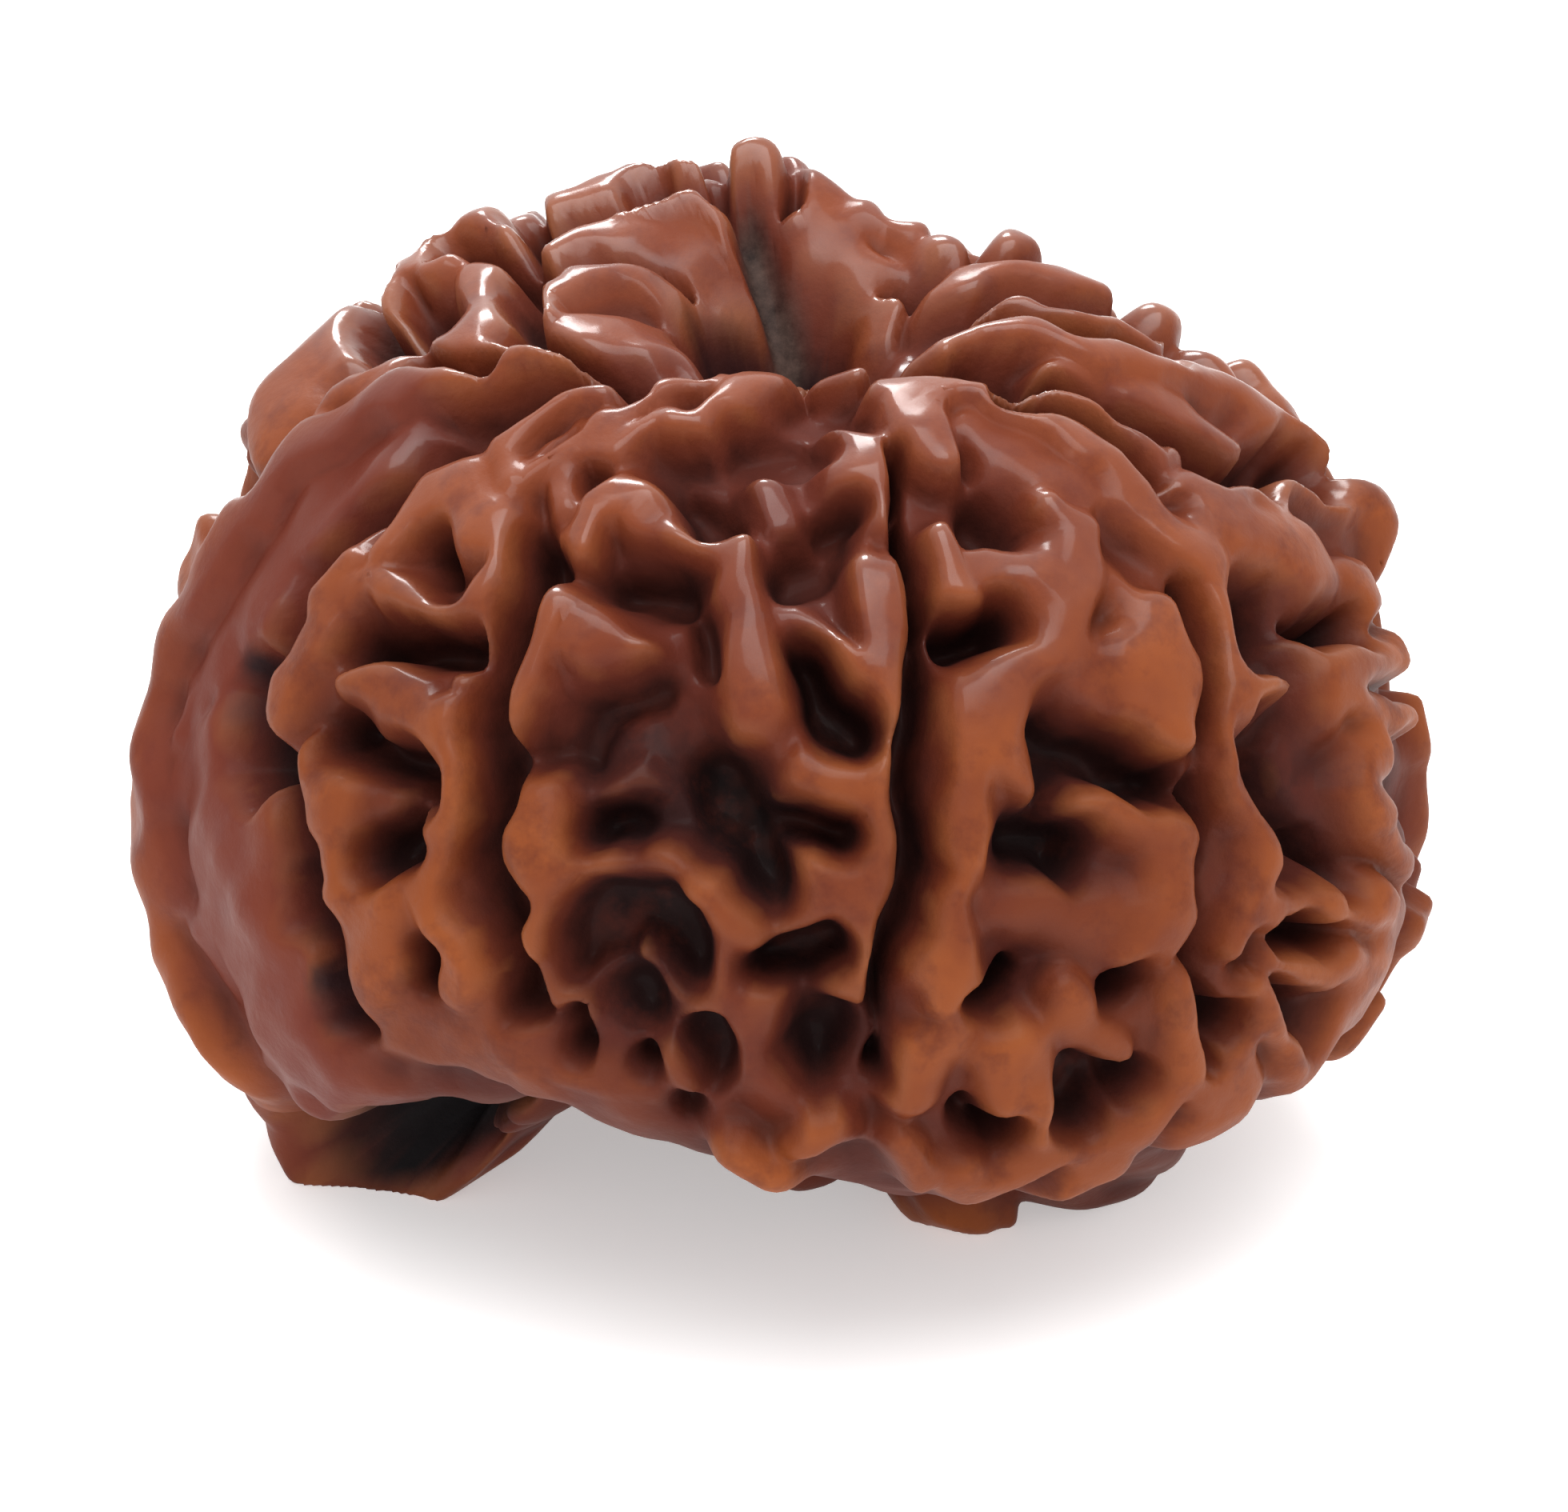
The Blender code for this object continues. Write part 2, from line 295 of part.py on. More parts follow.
PITS = [
    (0.25, -1.6, [(-8.75, 10.6), (-8.95, 9.9), (-8.6, 9.2)]),
    (0.4, -2.0, [(-7.8, 10.55), (-7.7, 9.8)]),
    (0.22, -1.6, [(-5.55, 11.1), (-5.6, 10.0), (-5.8, 9.6)]),
    (0.25, -1.4, [(-7.1, 11.45), (-6.2, 11.4), (-5.5, 11.2), (-5.1, 10.95)]),
    (0.22, -1.5, [(-5.5, 12.3), (-5.35, 11.7)]),
    (0.25, -1.4, [(-5.1, 11.9), (-4.3, 12.15), (-3.5, 12.3), (-2.9, 12.65)]),
    (0.2, -1.3, [(-5.3, 10.9), (-4.9, 11.15), (-4.0, 11.25), (-3.1, 11.15), (-2.5, 10.8)]),
    (0.25, -1.5, [(-5.6, 9.65), (-4.8, 9.5), (-3.9, 9.2), (-3.0, 9.05), (-2.0, 8.95)]),
    (0.2, -1.5, [(-7.6, 9.15), (-6.9, 9.15), (-6.2, 9.05)]),
    (0.2, -1.3, [(-2.7, 12.8), (-2.0, 12.95), (-1.4, 12.75)]),
    (0.5, -2.2, [(-1.7, 9.75), (-1.1, 9.5)]),
    (0.25, -1.0, [(-3.2, 12.75), (-2.75, 12.95)]),
    (0.22, -1.2, [(-1.75, 13.3), (-1.65, 12.8)]),
    (0.2, -1.1, [(-0.1, 13.3), (-0.05, 12.8)]),
    (0.5, -1.8, [(-0.3, 9.6), (0.6, 9.5)]),
    (0.3, -1.5, [(2.2, 10.75), (2.7, 10.8)]),
    (0.22, -1.5, [(3.3, 10.2), (3.9, 10.35), (4.85, 10.55), (5.8, 10.4), (6.75, 10.1), (7.3, 9.8)]),
    (0.22, -1.5, [(3.1, 9.75), (3.8, 9.95), (4.85, 10.05), (5.8, 9.85), (6.8, 9.45), (7.7, 9.2)]),
    (0.22, -1.5, [(2.9, 8.95), (3.7, 9.25), (4.85, 9.25)]),
    (0.25, -1.7, [(3.6, 8.85), (4.85, 8.9), (5.8, 8.75), (6.75, 8.35), (7.55, 7.95), (8.6, 7.4),
    (9.3, 6.9)]),
    (0.2, -1.5, [(4.4, 8.45), (5.3, 8.3), (6.1, 7.95), (6.9, 7.5), (7.6, 7.0)]),
    (0.4, -1.9, [(-7.7, 5.25)]),
    (0.3, -2.0, [(-9.4, 3.4), (-8.3, 3.4), (-7.0, 3.3)]),
    (0.35, -1.9, [(-10.0, 1.35), (-9.0, 0.95), (-8.1, 0.4)]),
    (0.4, -1.9, [(-9.0, -1.2), (-8.3, -1.0)]),
    (0.3, -1.9, [(-7.85, -3.1), (-7.85, -3.8)]),
    (0.4, -1.9, [(-6.3, -1.9), (-5.95, -2.3)]),
    (0.5, -1.9, [(-3.7, 4.75), (-2.5, 4.65)]),
    (0.3, -1.6, [(-2.0, 4.0), (-2.0, 3.0)]),
    (0.4, -2.2, [(0.25, 2.9), (0.6, 2.2), (1.3, 1.5)]),
    (0.6, -1.9, [(0.3, 5.3)]),
    (0.9, -1.45, [(-4.1, 1.5), (-3.0, 1.9), (-2.4, 1.1)]),
    (0.3, -1.9, [(-4.7, 1.0), (-4.2, 2.0), (-3.2, 2.5)]),
    (0.75, -2.5, [(-1.5, 0.3), (-1.1, -0.4)]),
    (0.4, -2.1, [(-0.8, -0.3), (0.3, -0.4), (1.1, -0.75)]),
    (0.5, -2.3, [(-1.0, -0.6), (-0.7, -1.6)]),
    (0.5, -1.6, [(-1.8, 0.0), (-3.2, -0.2)]),
    (0.4, -2.0, [(-3.7, -0.4), (-4.3, -0.55)]),
    (0.5, -2.0, [(-3.9, -2.7), (-3.2, -2.5), (-2.6, -3.0), (-2.3, -3.6)]),
    (0.3, -1.9, [(-4.4, -2.8), (-4.8, -3.8)]),
    (0.33, -2.0, [(-0.6, -3.8), (0.2, -3.4), (1.0, -3.1)]),
    (0.7, -2.1, [(0.65, -5.6)]),
    (0.6, -2.0, [(-3.6, -4.7)]),
    (0.3, -1.7, [(-4.9, -4.9), (-4.7, -5.5)]),
    (0.35, -1.7, [(-3.3, -5.9)]),
    (0.35, -1.7, [(-1.9, -5.2), (-1.7, -5.9)]),
    (0.3, -1.5, [(-2.4, -6.9)]),
    (0.4, -1.9, [(-2.4, 6.8), (-1.6, 6.2)]),
    (0.5, -1.4, [(-0.9, 7.7), (0.0, 7.8)]),
    (0.35, -1.8, [(0.7, 6.2), (1.2, 6.4)]),
    (0.45, -1.9, [(4.4, 6.0)]),
    (0.35, -2.1, [(3.7, 3.6), (4.6, 3.8)]),
    (0.4, -2.0, [(5.8, 1.4), (6.6, 0.9), (7.5, 0.55), (8.3, 0.4)]),
    (0.5, -2.1, [(5.2, -1.0), (6.2, -1.25)]),
    (0.25, -2.3, [(4.2, -4.4), (4.9, -3.7)]),
    (0.45, -1.9, [(6.1, -6.1), (6.5, -6.6)]),
    (0.35, -1.8, [(7.4, -6.2)]),
    (0.3, -2.0, [(3.8, -6.9), (4.6, -7.3)]),
    (0.45, -1.8, [(7.2, -4.3)]),
    (0.55, -2.2, [(10.3, 4.1), (10.2, 3.4)]),
    (0.25, -1.8, [(11.2, 3.6), (12.0, 3.7)]),
    (0.7, -2.3, [(10.5, 1.2), (10.8, 0.3), (11.0, -0.8)]),
    (0.3, -1.9, [(11.6, -1.1), (11.9, -1.6)]),
    (0.25, -1.8, [(10.4, -3.0), (11.6, -2.9)]),
    (0.4, -2.0, [(10.8, -4.5)]),
    (0.3, -1.6, [(9.35, -4.8)]),
]

GROOVES = [
    # left cleft
    ((0.15, 0.2, 0.25, 0.3, 0.3, 0.35, 0.35, 0.3, 0.3, 0.3, 0.3, 0.35, 0.4), -1.7,
     [(-5.2, 8.6), (-6.6, 8.1), (-7.9, 7.4), (-9.0, 6.3), (-9.8, 5.4), (-10.7, 4.1), (-11.2, 2.9),
      (-11.5, 1.6), (-11.0, 0.3),
      (-10.75, -0.8), (-10.3, -2.0), (-10.0, -3.4), (-9.7, -4.8)]),
    ((0.5, 0.6, 0.5), -2.3, [(-11.75, 2.6), (-11.75, 1.4), (-11.6, 0.5)]),
    ((0.4, 0.4), -2.3, [(-10.55, -1.8), (-10.25, -2.5)]),
    ((0.35, 0.35), -2.3, [(-9.95, -4.1), (-9.75, -4.8)]),
    ((0.2, 0.25, 0.25, 0.3, 0.3, 0.3, 0.3, 0.35, 0.35, 0.3, 0.25), -1.8,
     [(-5.4, 5.9), (-5.5, 5.0), (-5.8, 4.2), (-6.2, 3.3), (-6.45, 2.3), (-6.45, 1), (-6.55, 0),
      (-6.7, -1.2), (-6.5, -2.2), (-6.2, -3.2), (-5.95, -4.4)]),
    ((0.15, 0.15, 0.15, 0.2, 0.25, 0.3, 0.3, 0.3, 0.25, 0.2, 0.2), -2.0,
     [(2.1, 7.4), (2.35, 6.2), (2.6, 5.0), (2.75, 3.8), (2.75, 2.4), (2.65, 1.2), (2.6, 0),
      (2.6, -1.4), (2.3, -2.8), (2.05, -4.4), (1.85, -6.2)]),
    ((0.15, 0.15, 0.15, 0.15, 0.2, 0.25, 0.2, 0.2, 0.2), -1.6,
     [(8.5, 4.5), (8.8, 3.4), (8.95, 2.2), (8.95, 0.6), (8.95, -0.8), (8.7, -2.0), (8.7, -3.2),
      (8.95, -4.6), (9.0, -5.6)]),
    ((0.3, 0.35, 0.4, 0.4), -1.7, [(8.6, 7.4), (9.3, 6.95), (10.2, 6.95), (11.2, 6.9)]),
    ((0.35, 0.4, 0.45, 0.5), -1.5, [(-0.95, 12.7), (-0.75, 12.0), (-0.4, 11.1), (0.1, 10.1)]),
]


def direction(turn, fall):
    """Unit vectors at degrees round the bead and degrees from its crown."""
    turn, fall = np.radians(turn), np.radians(fall)
    return np.stack([np.sin(fall) * np.sin(turn), -np.sin(fall) * np.cos(turn), np.cos(fall) + 0 * turn], -1)


def body_radius(ways):
    """Distance from the centre to the smooth body along unit vectors."""
    side = np.hypot(ways[:, 0], ways[:, 1])
    above = ways[:, 2] > 0
    power = np.where(above, ROUND_ABOVE, ROUND_BELOW)
    height = np.where(above, RISE, DROP)
    radius = ((side / HALF_WIDTH) ** power + (np.abs(ways[:, 2]) / height) ** power) ** (-1 / power)
    for turn, fall, reach, swell in SWELLINGS:
        apart = np.degrees(np.arccos(np.clip(ways @ direction(turn, fall), -1, 1)))
        radius = radius + swell * MM * np.exp(-((apart / reach) ** 2))
    return radius


def on_body(ways):
    """Points of the smooth body along unit vectors."""
    return ways * body_radius(ways)[:, None]


def gap(points):
    """How far points stand out of the smooth body."""
    away = np.linalg.norm(points, axis=1)
    return away - body_radius(points / away[:, None])


TILT = np.radians(VIEW_TILT)
ACROSS = np.array([1, 0, 0])
UPWARD = np.array([0, np.sin(TILT), np.cos(TILT)])
TO_VIEWER = np.array([0, -np.cos(TILT), np.sin(TILT)])


def facing(points):
    """Cosine between the body's normal at points on it and the way to the viewer."""
    step = 0.001 * MM
    slope = [gap(points + step * axis) - gap(points - step * axis) for axis in np.eye(3)]
    normal = np.stack(slope, 1)
    return normal @ TO_VIEWER / np.linalg.norm(normal, axis=1)


def cast(drawn):
    """Points of the body that the viewer sees at the drawn places."""
    eye = VIEW_AIM[0] * ACROSS + VIEW_AIM[1] * UPWARD + VIEW_DISTANCE * TO_VIEWER
    deep = 16 * MM
    steps = np.arange(VIEW_DISTANCE - deep, VIEW_DISTANCE + deep, 0.02 * MM)
    seen = []
    for right, up in drawn:
        ray = right * ACROSS + up * UPWARD - eye
        along = eye + steps[:, None] * ray / np.linalg.norm(ray)
        out = gap(along)
        inside = np.nonzero(out <= 0)[0]
        seen.append(along[inside[0]] if len(inside) else along[np.argmin(out)])
    seen = np.array(seen)
    return on_body(seen / np.linalg.norm(seen, axis=1)[:, None])


def drawn_lines(table):
    """Lines of a table laid on the body, wider where the body slants away from the viewer."""
    lines = []
    for widths, level, drawn in table:
        points = cast(np.array(drawn) * MM)
        slant = np.clip(np.maximum(facing(points), 0.1) ** SLANT_POWER, 1, SLANT_LIMIT)
        lines.append((np.array(widths) * MM * slant * DRAWN_WIDER, level * MM, points))
    return lines


def sunk_lines(table):
    """Lines of pits and grooves laid on the body at their own widths."""
    return [(np.array(widths) * MM + np.zeros(len(drawn)), level * MM, cast(np.array(drawn) * MM))
            for widths, level, drawn in table]


def placed_line(row):
    """A line given by one half width, its level and its points in degrees round and from the crown."""
    width, level, places = row
    turns, falls = np.array(places, float).T
    return np.full(len(places), width * MM), level * MM, on_body(direction(turns, falls))


def hidden_runs(turns, falls, widths, level):
    """Parts of a line that the viewer can't see, or sees on a slant, laid on the body."""
    points = on_body(direction(turns, falls))
    turns = (turns + 180) % 360 - 180
    limit = np.where((turns > FLANK_TURN) & (falls > FLANK_FALL), HIDDEN_FLANK, HIDDEN_FROM)
    if level > RIDGES_ABOVE * MM:
        limit = np.where((np.abs(turns) < FRONT_TURN) & (falls > BENEATH_FALL), HIDDEN_BENEATH, limit)
    hidden = (facing(points) < limit) | ((np.abs(turns) > BACK_TURN) & (falls > BACK_FALL))
    hidden &= (np.abs(turns) > FLANK_TURN) | (falls > 90)
    runs = []
    start = None
    for k in range(len(points) + 1):
        if k < len(points) and hidden[k]:
            start = k if start is None else start
        elif start is not None:
            runs.append((widths[start:k], level, points[start:k]))
            start = None
    return runs


def hidden_lines():
    """Ridges and hollows of the hidden side: lips along the grooves, bars between them, knobs and pits."""
    draw = np.random.default_rng(11)
    ridges = []
    hollows = []
    falls = np.arange(24, 158, 6.0)
    count = len(falls)
    for left, right in zip(SEAMS[:-1], SEAMS[1:]):
        span = right - left
        lips = []
        for seam, inward in ((left, 1), (right, -1)):
            wander = np.interp(falls, falls[::3], draw.normal(size=len(falls[::3])))
            inset = np.maximum(LIP_INSET + LIP_INSET_VARIES * wander, LIP_INSET_LEAST) * MM
            turns = seam + inward * np.degrees(inset / (HALF_WIDTH * np.sin(np.radians(falls))))
            widths = np.clip(LIP_WIDTH + LIP_WIDTH_VARIES * draw.normal(size=count), *LIP_WIDTH_LIMITS) * MM
            lips.append(turns)
            ridges += hidden_runs(turns, falls, widths, (0.05 + 0.1 * draw.normal()) * MM)
        seam_turns, seam_widths = np.full(count, float(right)), np.full(count, SEAM_WIDTH * MM)
        hollows += hidden_runs(seam_turns, falls, seam_widths, SEAM_LEVEL * MM)
        fall = 31.0
        side = 0
        while fall < 150:
            start = np.interp(fall, falls, lips[side])
            inward = 1 if side == 0 else -1
            reach = draw.uniform(*BAR_REACH) * (span - 2 * abs(start - (left, right)[side]))
            steps = np.linspace(0, 1, 4)
            bar_falls = fall + draw.uniform(-BAR_BEND, BAR_BEND) * steps**2
            bar_falls += BAR_RAGGED * draw.normal(size=4)
            bar_widths = np.linspace(BAR_ROOT, BAR_TIP, 4) + BAR_WIDTH_VARIES * draw.normal(size=4)
            bar_widths = np.clip(bar_widths, *BAR_WIDTH_LIMITS) * MM
            bar_turns = start + inward * reach * steps
            ridges += hidden_runs(bar_turns, bar_falls, bar_widths, (-0.05 + 0.12 * draw.normal()) * MM)
            if draw.random() < KNOB_CHANCE:
                knob_turn = np.array([start + inward * reach * draw.uniform(*KNOB_PLACE)])
                knob_fall = np.array([fall + draw.choice([-KNOB_APART, KNOB_APART])])
                knob_width = np.array([draw.uniform(*KNOB_WIDTH) * MM])
                ridges += hidden_runs(knob_turn, knob_fall, knob_width, KNOB_LEVEL * MM)
            step = draw.uniform(*BAR_STEP)
            pit_turn = np.array([(left + right) / 2 + draw.uniform(-PIT_ASIDE, PIT_ASIDE) * span])
            pit_fall = np.array([fall + step / 2])
            pit_width = np.array([draw.uniform(*PIT_WIDTH) * MM])
            hollows += hidden_runs(pit_turn, pit_fall, pit_width, draw.uniform(*PIT_LEVEL) * MM)
            fall += step
            if draw.random() < SIDE_SWAP_CHANCE:
                side = 1 - side
    return ridges, hollows


def sway(points, length, seed):
    """Smooth noise between about -1 and 1: a sum of seeded sine waves about as long as length."""
    draw = np.random.default_rng(seed)
    total = np.zeros(len(points))
    for _ in range(7):
        wave = draw.normal(size=3)
        wave *= 2 * np.pi / (length * draw.uniform(0.7, 1.4)) / np.linalg.norm(wave)
        total += np.sin(points @ wave + draw.uniform(0, 2 * np.pi))
    return total / np.sqrt(7)


def nearness(points, line, widths):
    """Distance of points to a line, over its local half width."""
    if len(line) == 1:
        return np.linalg.norm(points - line[0], axis=1) / widths[0]
    best = np.full(len(points), np.inf)
    for start, end, width, next_width in zip(line[:-1], line[1:], widths[:-1], widths[1:]):
        run = end - start
        along = np.clip((points - start) @ run / (run @ run), 0, 1)
        away = np.linalg.norm(points - start - along[:, None] * run, axis=1)
        best = np.minimum(best, away / (width + (next_width - width) * along))
    return best


def follow(relief, points, thinner, line, upward):
    """Pull the relief near a line up or down to the line's level."""
    widths, level, places = line
    middle = places.mean(0)
    reach = np.linalg.norm(places - middle, axis=1).max() + 3 * widths.max()
    near = np.nonzero(np.linalg.norm(points - middle, axis=1) < reach)[0]
    away = nearness(points[near], places, widths) * thinner[near]
    reached, steep = (RIDGE_REACH, RIDGE_STEEP) if upward else (HOLLOW_REACH, HOLLOW_STEEP)
    pull = (1 - TOP_ROUND * np.minimum(away, 1.6) ** 2) / (1 + (away / reached) ** steep)
    rise = np.maximum(level - relief[near], 0) if upward else np.minimum(level - relief[near], 0)
    relief[near] += pull * rise


def bead_radius(ways):
    """Distance from the centre to the bead's surface along unit vectors, cut off flat where it stands."""
    base = body_radius(ways)
    points = ways * base[:, None]
    bent = points + LINE_SWAY * np.stack([sway(points, 1.8 * MM, seed) for seed in (1, 2, 3)], -1)
    thinner = 1 + WIDTH_SWAY * sway(points, 2.4 * MM, 7) + KNOT_SWAY * sway(points, 1.3 * MM, 13)
    crown = np.clip((ways[:, 2] - 0.55) / 0.3, 0, 1)
    relief = FLOOR + CROWN_FLOOR * crown + FLOOR_SWAY * sway(points, 3 * MM, 5)
    ridges, hollows = hidden_lines()
    for line in drawn_lines(RIDGES) + ridges:
        follow(relief, bent, thinner, line, upward=True)
    for line in sunk_lines(PITS + GROOVES) + hollows:
        follow(relief, bent, thinner, line, upward=False)
    follow(relief, points, thinner, placed_line(HOOK_HOLE), upward=False)
    for row in (HOOK_LIP,) + FEET:
        follow(relief, points, thinner, placed_line(row), upward=True)
    relief += FINE_SWAY * sway(points, 1.6 * MM, 9)
    radius = base + relief
    return np.where(ways[:, 2] < 0, np.minimum(radius, STAND / np.maximum(-ways[:, 2], 1e-6)), radius)


def coordinates(mesh):
    """Vertex coordinates of a mesh as an array."""
    flat = np.empty(len(mesh.vertices) * 3)
    mesh.vertices.foreach_get("co", flat)
    return flat.reshape(-1, 3)


def wood_material():
    """Oiled brown stone of the fruit, half glossy."""
    material = bpy.data.materials.new("bead")
    material.use_nodes = True
    shader = material.node_tree.nodes["Principled BSDF"]
    shader.inputs["Base Color"].default_value = (0.27, 0.085, 0.033, 1)
    shader.inputs["Roughness"].default_value = 0.45
    shader.inputs["Metallic"].default_value = 0
    return material


def build_bead(collection):
    """Sphere pushed out to the bead's surface, softened, thinned, then set flat on its feet."""
    fine = bpy.data.meshes.new("bead_fine")
    shape = bmesh.new()
    bmesh.ops.create_uvsphere(shape, u_segments=ROUND, v_segments=RINGS, radius=1)
    shape.to_mesh(fine)
    shape.free()
    ways = coordinates(fine)
    ways /= np.linalg.norm(ways, axis=1)[:, None]
    fine.vertices.foreach_set("co", (ways * bead_radius(ways)[:, None]).ravel())

    source = bpy.data.objects.new("bead_fine", fine)
    collection.objects.link(source)
    soften = source.modifiers.new("soften", "SMOOTH")
    soften.factor = 0.5
    soften.iterations = 2
    thin = source.modifiers.new("thin", "DECIMATE")
    thin.ratio = TRIANGLES / (2 * ROUND * (RINGS - 1))

    bpy.context.view_layer.update()
    graph = bpy.context.evaluated_depsgraph_get()
    mesh = bpy.data.meshes.new_from_object(source.evaluated_get(graph))
    mesh.name = "bead"
    bpy.data.objects.remove(source)

    points = coordinates(mesh)
    low = points[:, 2] < -STAND + 0.04 * MM
    points[low] *= (-STAND / points[low, 2])[:, None]
    middle = (points.min(0) + points.max(0)) / 2
    points -= (middle[0], middle[1], -STAND)
    mesh.vertices.foreach_set("co", points.ravel())
    mesh.materials.append(wood_material())
    collection.objects.link(bpy.data.objects.new("bead", mesh))


for old in list(bpy.data.objects):
    bpy.data.objects.remove(old, do_unlink=True)
rudraksha_bead = bpy.data.collections.new("rudraksha_bead")
bpy.context.scene.collection.children.link(rudraksha_bead)
build_bead(rudraksha_bead)
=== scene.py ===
"""A rudraksha bead, the dried stone of one fruit, standing on a pale table.

The surface in words: in each direction from a centre on the widest ring, its distance is a smooth body
plus a relief. The body is two half superellipsoids with soft swellings and a crown pit. The relief
starts as a low floor; each ridge is a line that lifts the floor near it to the line's own level, and
each pit or groove is a line that sinks it. The pull of a line fades as one over one plus a power of
the distance from it. Smooth noise, a sum of sine waves, bends the lines a little.
"""

import bpy
import numpy as np
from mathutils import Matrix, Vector


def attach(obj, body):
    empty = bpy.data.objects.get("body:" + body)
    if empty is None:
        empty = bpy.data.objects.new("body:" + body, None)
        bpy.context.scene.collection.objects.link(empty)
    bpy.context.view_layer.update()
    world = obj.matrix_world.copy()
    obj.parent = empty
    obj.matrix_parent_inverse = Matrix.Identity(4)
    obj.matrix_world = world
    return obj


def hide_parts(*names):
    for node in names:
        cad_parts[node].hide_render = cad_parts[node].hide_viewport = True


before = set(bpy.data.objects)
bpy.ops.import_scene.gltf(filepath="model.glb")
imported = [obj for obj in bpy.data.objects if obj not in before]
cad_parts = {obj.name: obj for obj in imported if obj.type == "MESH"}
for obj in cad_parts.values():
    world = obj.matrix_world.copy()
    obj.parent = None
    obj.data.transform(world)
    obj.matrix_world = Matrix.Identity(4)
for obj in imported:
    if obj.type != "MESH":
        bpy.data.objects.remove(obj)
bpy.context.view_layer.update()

# The bead: one grown stone, squat and round, grooved into segments that are covered with a net of
# wrinkled ridges. It is solid, dark in its pits and oiled on its ridges. It stands on a few low
# points that are worn flat.
MM = 0.001

# The smooth body in metres: half its width, its rise and drop from the widest ring, the powers that
# round it above and below that ring, and how far under the ring it is cut off flat.
HALF_WIDTH = 0.0131
RISE = 0.0122
DROP = 0.0076
ROUND_ABOVE = 2.0
ROUND_BELOW = 2.5
STAND = 0.0075

# The relief's low floor in metres, and how much lower it lies at the crown, from one cosine on and
# fully after a further step.
FLOOR = -0.0009
CROWN_FLOOR = -0.0002
CROWN_FROM, CROWN_STEP = 0.55, 0.3

# Smooth noise: its strength, its wave length in mm and its seeds. The floor, the places of the lines
# and the finest lumps sway by metres, the widths of the lines by a share. Each noise is a sum of
# WAVE_COUNT sine waves, whose lengths vary by the shares below.
FLOOR_SWAY, FLOOR_WAVE, FLOOR_SEED = 0.0002, 3, 5
LINE_SWAY, LINE_WAVE, LINE_SEEDS = 0.00013, 1.8, (1, 2, 3)
FINE_SWAY, FINE_WAVE, FINE_SEED = 0.00006, 1.6, 9
WIDTH_SWAY, WIDTH_WAVE, WIDTH_SEED = 0.2, 2.4, 7
KNOT_SWAY, KNOT_WAVE, KNOT_SEED = 0.13, 1.3, 13
WAVE_COUNT = 7
WAVE_VARIES = (0.7, 1.4)

# Where the photograph was taken from: degrees that it looks down, distance in metres, and the place it
# aims at, to the right of the axis and up from the widest ring.
VIEW_TILT = 25
VIEW_DISTANCE = 0.120
VIEW_AIM = (-0.000167, 0.000917)

# Grooves between the segments, in degrees round the bead.
SEAMS = (-77, -52, -28, 10.5, 41, 72, 101, 130, 160, 189, 218, 247, 283)

# Lines placed in degrees round the bead and degrees from its crown, each with its half width and level
# in mm: the spots that it stands on, the hook's lip and the hole that the hook curls round.
FEET = (
    (0.75, 0.5, [(-75, 131), (-71, 134)]),
    (1.2, 0.3, [(38, 146), (52, 147)]),
    (1.2, 0.5, [(-150, 139)]),
    (1.2, 0.5, [(140, 139)]),
)
HOOK_LIP = (0.4, 0.35, [(-82, 114), (-78, 121), (-74, 127), (-70, 130.5), (-66, 133), (-65, 137)])
HOOK_HOLE = (1.1, -4.2, [(-46, 111), (-54, 117), (-62, 122), (-66, 125)])

# The fine grid: steps round, rings from crown to base, and triangles left after thinning.
ROUND = 900
RINGS = 380
TRIANGLES = 192000

# How a line pulls the relief: the distance in half widths at which half of its pull is left, the power
# of the fall beyond that, how much rounder than flat the top of a ridge is and up to which distance,
# and how many half widths off a line still matters.
RIDGE_REACH, RIDGE_STEEP = 1.15, 5.5
HOLLOW_REACH, HOLLOW_STEEP = 1.2, 5.5
TOP_ROUND, TOP_LIMIT = 0.12, 1.6
LINE_MARGIN = 3

# Ridges drawn on the front: how much wider than drawn they all are, and on a slant the power of the
# cosine to the viewer that widens them, up to a limit, and the least cosine that counts.
DRAWN_WIDER = 1.1
SLANT_POWER = -0.35
SLANT_LIMIT = 1.3
SLANT_LEAST = 0.1

# The hidden side starts where the cosine to the viewer falls below these: at the back, on the low right
# flank that the viewer sees on a slant, and for ridges under the front, where they would show below it.
# Behind the lobes at the back of the crown everything is hidden, and on the front nothing above the
# widest ring. A line is a ridge above the last of these levels in mm.
HIDDEN_FROM = -0.08
HIDDEN_FLANK = 0.25
HIDDEN_BENEATH = -0.6
FLANK_TURN, FLANK_FALL = 58, 94
FRONT_TURN, BENEATH_FALL = 76, 112
BACK_TURN, BACK_FALL = 128, 33
RING_FALL = 90
RIDGES_ABOVE = -1.0

# Rule for the hidden side: sizes in mm, steps in degrees from the crown, each with its random share.
HIDDEN_SEED = 11
SEAM_FALLS = (24, 158, 6.0)
LIP_WANDER_EVERY = 3
LIP_INSET, LIP_INSET_VARIES, LIP_INSET_LEAST = 0.75, 0.22, 0.5
LIP_WIDTH, LIP_WIDTH_VARIES = 0.47, 0.09
LIP_WIDTH_LIMITS = (0.28, 0.6)
LIP_LEVEL, LIP_LEVEL_VARIES = 0.05, 0.1
SEAM_WIDTH, SEAM_LEVEL = 0.2, -1.5
BAR_REACH = (0.35, 0.8)
BAR_BEND, BAR_RAGGED = 9, 0.8
BAR_ROOT, BAR_TIP, BAR_WIDTH_VARIES = 0.36, 0.5, 0.1
BAR_WIDTH_LIMITS = (0.25, 0.75)
BAR_LEVEL, BAR_LEVEL_VARIES = -0.05, 0.12
BAR_FALLS = (31.0, 150)
BAR_STEP = (8, 12.5)
BAR_POINTS = 4
